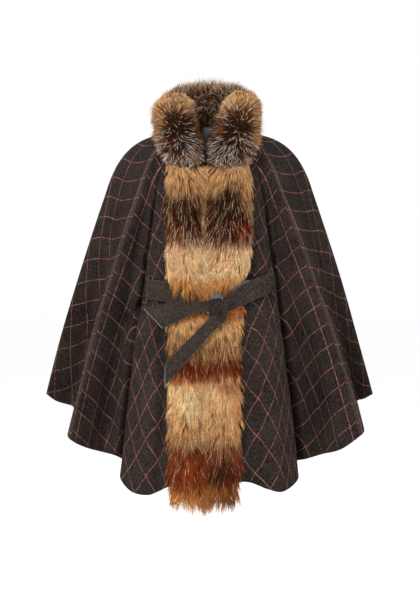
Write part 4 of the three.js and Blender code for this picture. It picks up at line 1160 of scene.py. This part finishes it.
def belt_knot(material, wrap, backing):
    """The knot: a rounded lump, pinched at its sides, with shallow folds that run round it, the turn
    of the belt that is wrapped over its front, and the bits of grey backing that look out. Lump and
    turn wear darker copies of the belt wool, painted shade for the knot's folds."""
    x, z = KNOT["centre"]
    y = float(front_depth(x, z)) - KNOT["lift"]
    a, b = np.meshgrid(np.linspace(-math.pi / 2, math.pi / 2, 40), np.linspace(0, 2 * math.pi, 65),
                       indexing="ij")
    fold = 1 + 0.08 * np.cos(7 * a + 1.6 * np.sin(b)) + 0.03 * np.sin(5 * b + 2.2 * a)
    wide, deep, high = KNOT["half"]
    p = np.stack([x + wide * fold * np.cos(a) * np.cos(b), y + deep * fold * np.cos(a) * np.sin(b),
                  z + high * np.sin(a) * (0.96 + 0.04 * fold)], -1)
    verts, faces = closed_tube(p[1:-1, :-1])
    made = mesh_object("belt_knot_wool", verts, faces, material)
    mend_normals(made)
    join_to(made, laid_strip("knot_wrap", KNOT_WRAP, wrap))
    for key in ("top", "low"):
        join_to(made, laid_strip("knot_backing_" + key, BACKING[key], backing))
    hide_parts("belt_knot")
    return made


def neck_facing(material):
    """The facing in the gap of the collar: an upright strip bent round the neck."""
    angle = np.radians(np.linspace(FACING["from"], FACING["to"], 25))
    z = np.linspace(FACING["top"], FACING["bottom"], 22)
    a, z = np.meshgrid(angle, z)
    grids = []
    for offset in (CLOTH / 2, -CLOTH / 2):
        r = FACING["radius"] + offset
        grids.append(np.stack([r * np.sin(a), NECK["centre_y"] - r * np.cos(a), z], -1).reshape(-1, 3))
    made = mesh_object("neck_facing_cloth", np.concatenate(grids), shell_faces(np.ones((21, 24), bool)),
                       material, sharp=60)
    mend_normals(made)
    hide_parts("neck_facing")
    return made


# Materials

def new_material(name):
    material = bpy.data.materials.new(name)
    material.use_nodes = True
    return material, material.node_tree, material.node_tree.nodes["Principled BSDF"]


def put(tree, kind, values=None, **settings):
    """A node with its settings and its input values by name or number."""
    made = tree.nodes.new("ShaderNode" + kind)
    for key, value in settings.items():
        setattr(made, key, value)
    for key, value in (values or {}).items():
        made.inputs[key].default_value = value
    return made


def math_node(tree, operation, a, b=None):
    made = tree.nodes.new("ShaderNodeMath")
    made.operation = operation
    for k, value in enumerate((a, b)):
        if value is None:
            continue
        if isinstance(value, (int, float)):
            made.inputs[k].default_value = value
        else:
            tree.links.new(value, made.inputs[k])
    return made.outputs[0]


def group_tree(name, inputs, outputs):
    """An empty shader group with named sockets."""
    tree = bpy.data.node_groups.new(name, "ShaderNodeTree")
    for label, kind, value in inputs:
        made = tree.interface.new_socket(label, in_out="INPUT", socket_type="NodeSocket" + kind)
        if value is not None:
            made.default_value = value
    for label, kind in outputs:
        tree.interface.new_socket(label, in_out="OUTPUT", socket_type="NodeSocket" + kind)
    return tree, tree.nodes.new("NodeGroupInput"), tree.nodes.new("NodeGroupOutput")


def windowpane_group():
    """Thin lines on a square grid: how near the place in checks is to a whole number, across or
    down, against half the line's width."""
    tree, source, sink = group_tree("windowpane lines", [("Place", "Vector", None),
                                                         ("Width", "Float", 0.045)],
                                    [("Mask", "Float")])
    parts = put(tree, "SeparateXYZ")
    tree.links.new(source.outputs["Place"], parts.inputs[0])
    masks = []
    for k in (0, 1):
        away = math_node(tree, "PINGPONG", parts.outputs[k], 0.5)
        wide = math_node(tree, "MULTIPLY", source.outputs["Width"], 0.5)
        soft = put(tree, "MapRange", {3: 1.0, 4: 0.0}, interpolation_type="SMOOTHSTEP")
        tree.links.new(away, soft.inputs[0])
        tree.links.new(math_node(tree, "MULTIPLY", wide, 0.55), soft.inputs[1])
        tree.links.new(math_node(tree, "MULTIPLY", wide, 1.35), soft.inputs[2])
        masks.append(soft.outputs[0])
    tree.links.new(math_node(tree, "MAXIMUM", *masks), sink.inputs["Mask"])
    return tree


def felt_group():
    """Mottled wool: large soft clouds, flecks of a few millimetres and a twill of fine slanting
    ribs, mixed between a dark and a light colour."""
    tree, source, sink = group_tree("felted wool", [("Place", "Vector", None),
                                                    ("Weave", "Vector", None),
                                                    ("Dark", "Color", (0.02, 0.016, 0.014, 1)),
                                                    ("Light", "Color", (0.05, 0.04, 0.036, 1))],
                                    [("Color", "Color"), ("Height", "Float")])
    cloud = put(tree, "TexNoise", {"Scale": 11.0, "Detail": 4.0, "Roughness": 0.6})
    fleck = put(tree, "TexNoise", {"Scale": 170.0, "Detail": 4.0, "Roughness": 0.75})
    for noise in (cloud, fleck):
        tree.links.new(source.outputs["Place"], noise.inputs["Vector"])
    twill = put(tree, "TexWave", {"Scale": 5.0, "Distortion": 1.6, "Detail": 2.0, "Detail Scale": 2.0},
                wave_type="BANDS", bands_direction="DIAGONAL")
    tree.links.new(source.outputs["Weave"], twill.inputs["Vector"])
    tone = math_node(tree, "ADD", math_node(tree, "MULTIPLY", cloud.outputs[0], 0.45),
                     math_node(tree, "MULTIPLY", fleck.outputs[0], 1.3))
    tone = math_node(tree, "ADD", tone, math_node(tree, "MULTIPLY", twill.outputs[1], 0.12))
    level = put(tree, "MapRange", {1: 0.66, 2: 1.22})
    tree.links.new(tone, level.inputs[0])
    mix = put(tree, "Mix", data_type="RGBA")
    tree.links.new(level.outputs[0], mix.inputs[0])
    tree.links.new(source.outputs["Dark"], mix.inputs[6])
    tree.links.new(source.outputs["Light"], mix.inputs[7])
    tree.links.new(mix.outputs[2], sink.inputs["Color"])
    height = math_node(tree, "ADD", math_node(tree, "MULTIPLY", fleck.outputs[0], 0.9),
                       math_node(tree, "MULTIPLY", twill.outputs[1], 0.4))
    tree.links.new(height, sink.inputs["Height"])
    return tree


def rim_group():
    """How near a distance lies to a cloth's edge: 1 up to Start and 0 from End on."""
    tree, source, sink = group_tree("cloth rim", [("Away", "Float", 1.0), ("Start", "Float", 0.001),
                                                  ("End", "Float", 0.003)], [("Mask", "Float")])
    soft = put(tree, "MapRange", {3: 1.0, 4: 0.0}, interpolation_type="SMOOTHSTEP")
    for k, name in enumerate(("Away", "Start", "End")):
        tree.links.new(source.outputs[name], soft.inputs[k])
    tree.links.new(soft.outputs[0], sink.inputs["Mask"])
    return tree


GROUPS = {"lines": windowpane_group(), "felt": felt_group(), "rim": rim_group()}


def use_group(tree, key, values=None):
    made = tree.nodes.new("ShaderNodeGroup")
    made.node_tree = GROUPS[key]
    for name, value in (values or {}).items():
        made.inputs[name].default_value = value
    return made


def colour(rgb):
    return (*linear(rgb), 1.0)


def blended(tree, mask, base, rgb):
    """The base colour with another laid over it by a mask."""
    mix = put(tree, "Mix", {7: colour(rgb)}, data_type="RGBA")
    tree.links.new(mask, mix.inputs[0])
    tree.links.new(base, mix.inputs[6])
    return mix.outputs[2]


def felted(tree, dark, light, weave, fineness):
    """The felt between two colours, over the object, with its twill along a map where one is given.
    Gives the felt and the object's own coordinates."""
    place = put(tree, "TexCoord").outputs["Object"]
    felt = use_group(tree, "felt", {"Dark": colour(dark), "Light": colour(light)})
    tree.links.new(place, felt.inputs["Place"])
    fine = put(tree, "VectorMath", {1: (fineness,) * 3}, operation="MULTIPLY")
    tree.links.new(place if weave is None else weave, fine.inputs[0])
    tree.links.new(fine.outputs[0], felt.inputs["Weave"])
    return felt, place


def bumped(tree, shader, height, strength, distance):
    """Small relief on a surface, from a height that its pattern gives."""
    bump = put(tree, "Bump", {"Strength": strength, "Distance": distance})
    tree.links.new(height, bump.inputs["Height"])
    tree.links.new(bump.outputs[0], shader.inputs["Normal"])


def matt(shader, roughness):
    """A dull surface with hardly any shine."""
    shader.inputs["Roughness"].default_value = roughness
    shader.inputs["Specular IOR Level"].default_value = 0.04


def pinstripes(tree, away):
    """Four fine tonal stripes beside the arm seam, on the side piece: a wave of the way from the
    seam, cut off at both ends."""
    wave = math_node(tree, "SINE", math_node(tree, "MULTIPLY", away, 2 * math.pi / 0.0034))
    inside = math_node(tree, "MULTIPLY", math_node(tree, "LESS_THAN", away, -0.0008),
                       math_node(tree, "GREATER_THAN", away, -0.0136))
    return math_node(tree, "MULTIPLY", math_node(tree, "GREATER_THAN", wave, 0.1), inside)


def checked_wool():
    """Charcoal brown wool with thin, worn, pink windowpane lines that follow the cut, tonal
    stripes beside the arm seam and a grey rim round the belt slit."""
    material, tree, shader = new_material("checked wool")
    cut = put(tree, "UVMap", uv_map="cut")
    felt, place = felted(tree, (14, 11, 10), (56, 48, 44), cut.outputs[0], 22)
    lines = use_group(tree, "lines", {"Width": 0.033})
    tree.links.new(cut.outputs[0], lines.inputs["Place"])
    worn = put(tree, "TexNoise", {"Scale": 190.0, "Detail": 2.0})
    tree.links.new(place, worn.inputs["Vector"])
    fade = put(tree, "MapRange", {1: 0.38, 2: 0.60, 3: 0.22, 4: 0.95})
    tree.links.new(worn.outputs[0], fade.inputs[0])
    mask = math_node(tree, "MULTIPLY", lines.outputs[0], fade.outputs[0])
    base = blended(tree, mask, felt.outputs["Color"], (142, 92, 82))
    edges = put(tree, "UVMap", uv_map="edges")
    away = put(tree, "SeparateXYZ")
    tree.links.new(edges.outputs[0], away.inputs[0])
    stripes = math_node(tree, "MULTIPLY", pinstripes(tree, away.outputs[0]), 0.28)
    base = blended(tree, stripes, base, (104, 90, 82))
    rim = use_group(tree, "rim", {"Start": 0.0016, "End": 0.0034})
    tree.links.new(away.outputs[1], rim.inputs["Away"])
    base = blended(tree, rim.outputs[0], base, (76, 73, 72))
    tree.links.new(base, shader.inputs["Base Color"])
    bumped(tree, shader, felt.outputs["Height"], 0.5, 0.0016)
    matt(shader, 0.95)
    return material


def plain_wool(name, dark, light, weave_map=None, edge=None):
    """Plain wool or facing cloth with the same felt and twill; on a strip, long edges paler with a
    painted highlight in the underside's grey, and a grey cut end.
    """
    material, tree, shader = new_material(name)
    weave = put(tree, "UVMap", uv_map=weave_map).outputs[0] if weave_map else None
    felt, _ = felted(tree, dark, light, weave, 420)
    base = felt.outputs["Color"]
    if edge:
        rims = put(tree, "UVMap", uv_map="rims")
        away = put(tree, "SeparateXYZ")
        tree.links.new(rims.outputs[0], away.inputs[0])
        # long edges: a painted highlight in the underside's grey; cut end: the grey underside
        for k, start, end, rgb in ((0, 0.0006, 0.0024, edge[0]), (1, 0.0016, 0.0036, edge[1])):
            rim = use_group(tree, "rim", {"Start": start, "End": end})
            tree.links.new(away.outputs[k], rim.inputs["Away"])
            base = blended(tree, rim.outputs[0], base, rgb)
    tree.links.new(base, shader.inputs["Base Color"])
    bumped(tree, shader, felt.outputs["Height"], 0.5, 0.0014)
    matt(shader, 0.92)
    return material


def fur_hair():
    """Hair: the lock's colours, with the painted shade at the rims of tufts in them, a little uneven
    along it.
    """
    material, tree, shader = new_material("fur hair")
    tone = put(tree, "Attribute", attribute_name="hair")
    place = put(tree, "TexCoord")
    noise = put(tree, "TexNoise", {"Scale": 260.0, "Detail": 2.0})
    tree.links.new(place.outputs["Object"], noise.inputs["Vector"])
    level = put(tree, "MapRange", {1: 0.3, 2: 0.7, 3: 0.72, 4: 1.25})
    tree.links.new(noise.outputs[0], level.inputs[0])
    mix = put(tree, "VectorMath", operation="MULTIPLY")
    tree.links.new(tone.outputs["Color"], mix.inputs[0])
    tree.links.new(level.outputs[0], mix.inputs[1])
    tree.links.new(mix.outputs[0], shader.inputs["Base Color"])
    matt(shader, 0.65)
    return material


def fur_skin():
    """Dense short hair under the locks, dark brown and streaked downwards."""
    material, tree, shader = new_material("under fur")
    place = put(tree, "TexCoord")
    stretch = put(tree, "Mapping", {"Scale": (420, 420, 60)})
    tree.links.new(place.outputs["Object"], stretch.inputs[0])
    noise = put(tree, "TexNoise", {"Scale": 1.0, "Detail": 3.0})
    tree.links.new(stretch.outputs[0], noise.inputs["Vector"])
    mix = put(tree, "Mix", {6: colour((16, 9, 6)), 7: colour((66, 40, 25))}, data_type="RGBA")
    tree.links.new(noise.outputs[0], mix.inputs[0])
    tree.links.new(mix.outputs[2], shader.inputs["Base Color"])
    bumped(tree, shader, noise.outputs[0], 0.8, 0.003)
    matt(shader, 0.8)
    return material


# Studio

# The camera stands 4 m before the cape, and the photograph's frame is 1547 mm high there
CAMERA_PLACE = (0.0013, -4.0, -0.383)
CAMERA_AWAY, FRAME_HEIGHT = 4000, 1547
# Lights: name, place and target in metres, size of the square and power
LIGHTS = (("key", (-1.9, -3.2, 1.5), (0, 0, -0.35), 1.6, 125),
          ("fill", (2.4, -2.6, 0.4), (0, 0, -0.4), 2.2, 30),
          ("top", (0, 0.4, 2.4), (0, 0, -0.2), 2.0, 30))
FLOOR_Z, FLOOR_HALF = -1240, 60000


def area_light(name, place, target, size, power):
    """A square of soft light that faces its target."""
    data = bpy.data.lights.new(name, "AREA")
    data.shape, data.size, data.energy = "SQUARE", size, power
    made = bpy.data.objects.new(name, data)
    bpy.context.collection.objects.link(made)
    aim = unit(np.array(target, float) - np.array(place, float))
    made.location = place
    made.rotation_euler = (math.acos(-aim[2]), 0, math.atan2(-aim[0], aim[1]))


def studio():
    """Camera at the photograph's angle, a pale floor and soft light from the upper left."""
    scene = bpy.context.scene
    data = bpy.data.cameras.new("camera")
    data.sensor_fit, data.sensor_height, data.sensor_width = "VERTICAL", 36, 36
    data.lens, data.clip_end = 36 * CAMERA_AWAY / FRAME_HEIGHT, 120
    camera = bpy.data.objects.new("camera", data)
    camera.location, camera.rotation_euler = CAMERA_PLACE, (math.pi / 2, 0, 0)
    bpy.context.collection.objects.link(camera)
    scene.camera = camera
    world = bpy.data.worlds.new("studio")
    world.use_nodes = True
    world.node_tree.nodes["Background"].inputs[0].default_value = (1, 1, 1, 1)
    world.node_tree.nodes["Background"].inputs[1].default_value = 1.0
    scene.world = world
    scene.view_settings.view_transform = "Standard"
    verts = np.array([(x * FLOOR_HALF, y * FLOOR_HALF, FLOOR_Z)
                      for x, y in ((-1, -1), (1, -1), (1, 1), (-1, 1))])
    floor_material, _, shader = new_material("pale floor")
    shader.inputs["Base Color"].default_value = (0.985, 0.985, 0.985, 1)
    shader.inputs["Roughness"].default_value = 0.9
    mesh = bpy.data.meshes.new("floor")
    mesh.from_pydata((verts * MM).tolist(), [], [(0, 1, 2, 3)])
    mesh.materials.append(floor_material)
    floor = bpy.data.objects.new("floor", mesh)
    bpy.context.collection.objects.link(floor)
    for light in LIGHTS:
        area_light(*light)


# Plain cloths: dark and light colour of the felt, then for a strip the map that its twill follows
# and the colours of its long edges, a painted highlight in the underside's grey, and of its cut end
PLAIN_CLOTHS = {
    "belt wool": ((20, 16, 14), (66, 56, 51), "strip", ((60, 55, 52), (90, 90, 92))),
    "belt backing": ((58, 62, 66), (118, 122, 128)),
    "facing cloth": ((48, 51, 54), (96, 101, 106)),
    # knot turn and knot wool: darker copies of the belt wool, painted shade on the knot and in its folds
    "knot turn painted shade": ((17, 14, 12), (56, 48, 43), "strip", ((52, 46, 42), (60, 54, 50))),
    "knot wool painted shade": ((16, 13, 11), (50, 43, 39)),
}
LOCKS = {"band": 18400, "roll": 13500, "ring": 11000}
PANEL_COLUMNS = {"front": 74, "back": 112}


def dress():
    """Makes every piece, each hiding the imported part that it takes the place of, and gives back the
    cloth panels.
    """
    wool = checked_wool()
    cloths = {name: plain_wool(name, *row) for name, row in PLAIN_CLOTHS.items()}
    belt, backing = cloths["belt wool"], cloths["belt backing"]
    hair, skin = fur_hair(), fur_skin()
    panels = {}
    for side in SIDES:
        for which, columns in PANEL_COLUMNS.items():
            piece = f"{which}_{side}"
            panels[piece] = cloth_panel("cape_" + piece, side, which, columns, wool)
        fur_band(side, LOCKS["band"], hair, skin)
        fur_roll(side, LOCKS["roll"], hair, skin)
    fur_ring(LOCKS["ring"], hair, skin)
    neck_facing(cloths["facing cloth"])
    for name in BELT_STRETCHES:
        belt_stretch(name, belt, backing)
    waist_loop(belt)
    # the knot's two cloths are darker copies of the belt wool, painted shade on the knot
    belt_knot(cloths["knot wool painted shade"], cloths["knot turn painted shade"], backing)
    return panels


studio()
PANELS = dress()
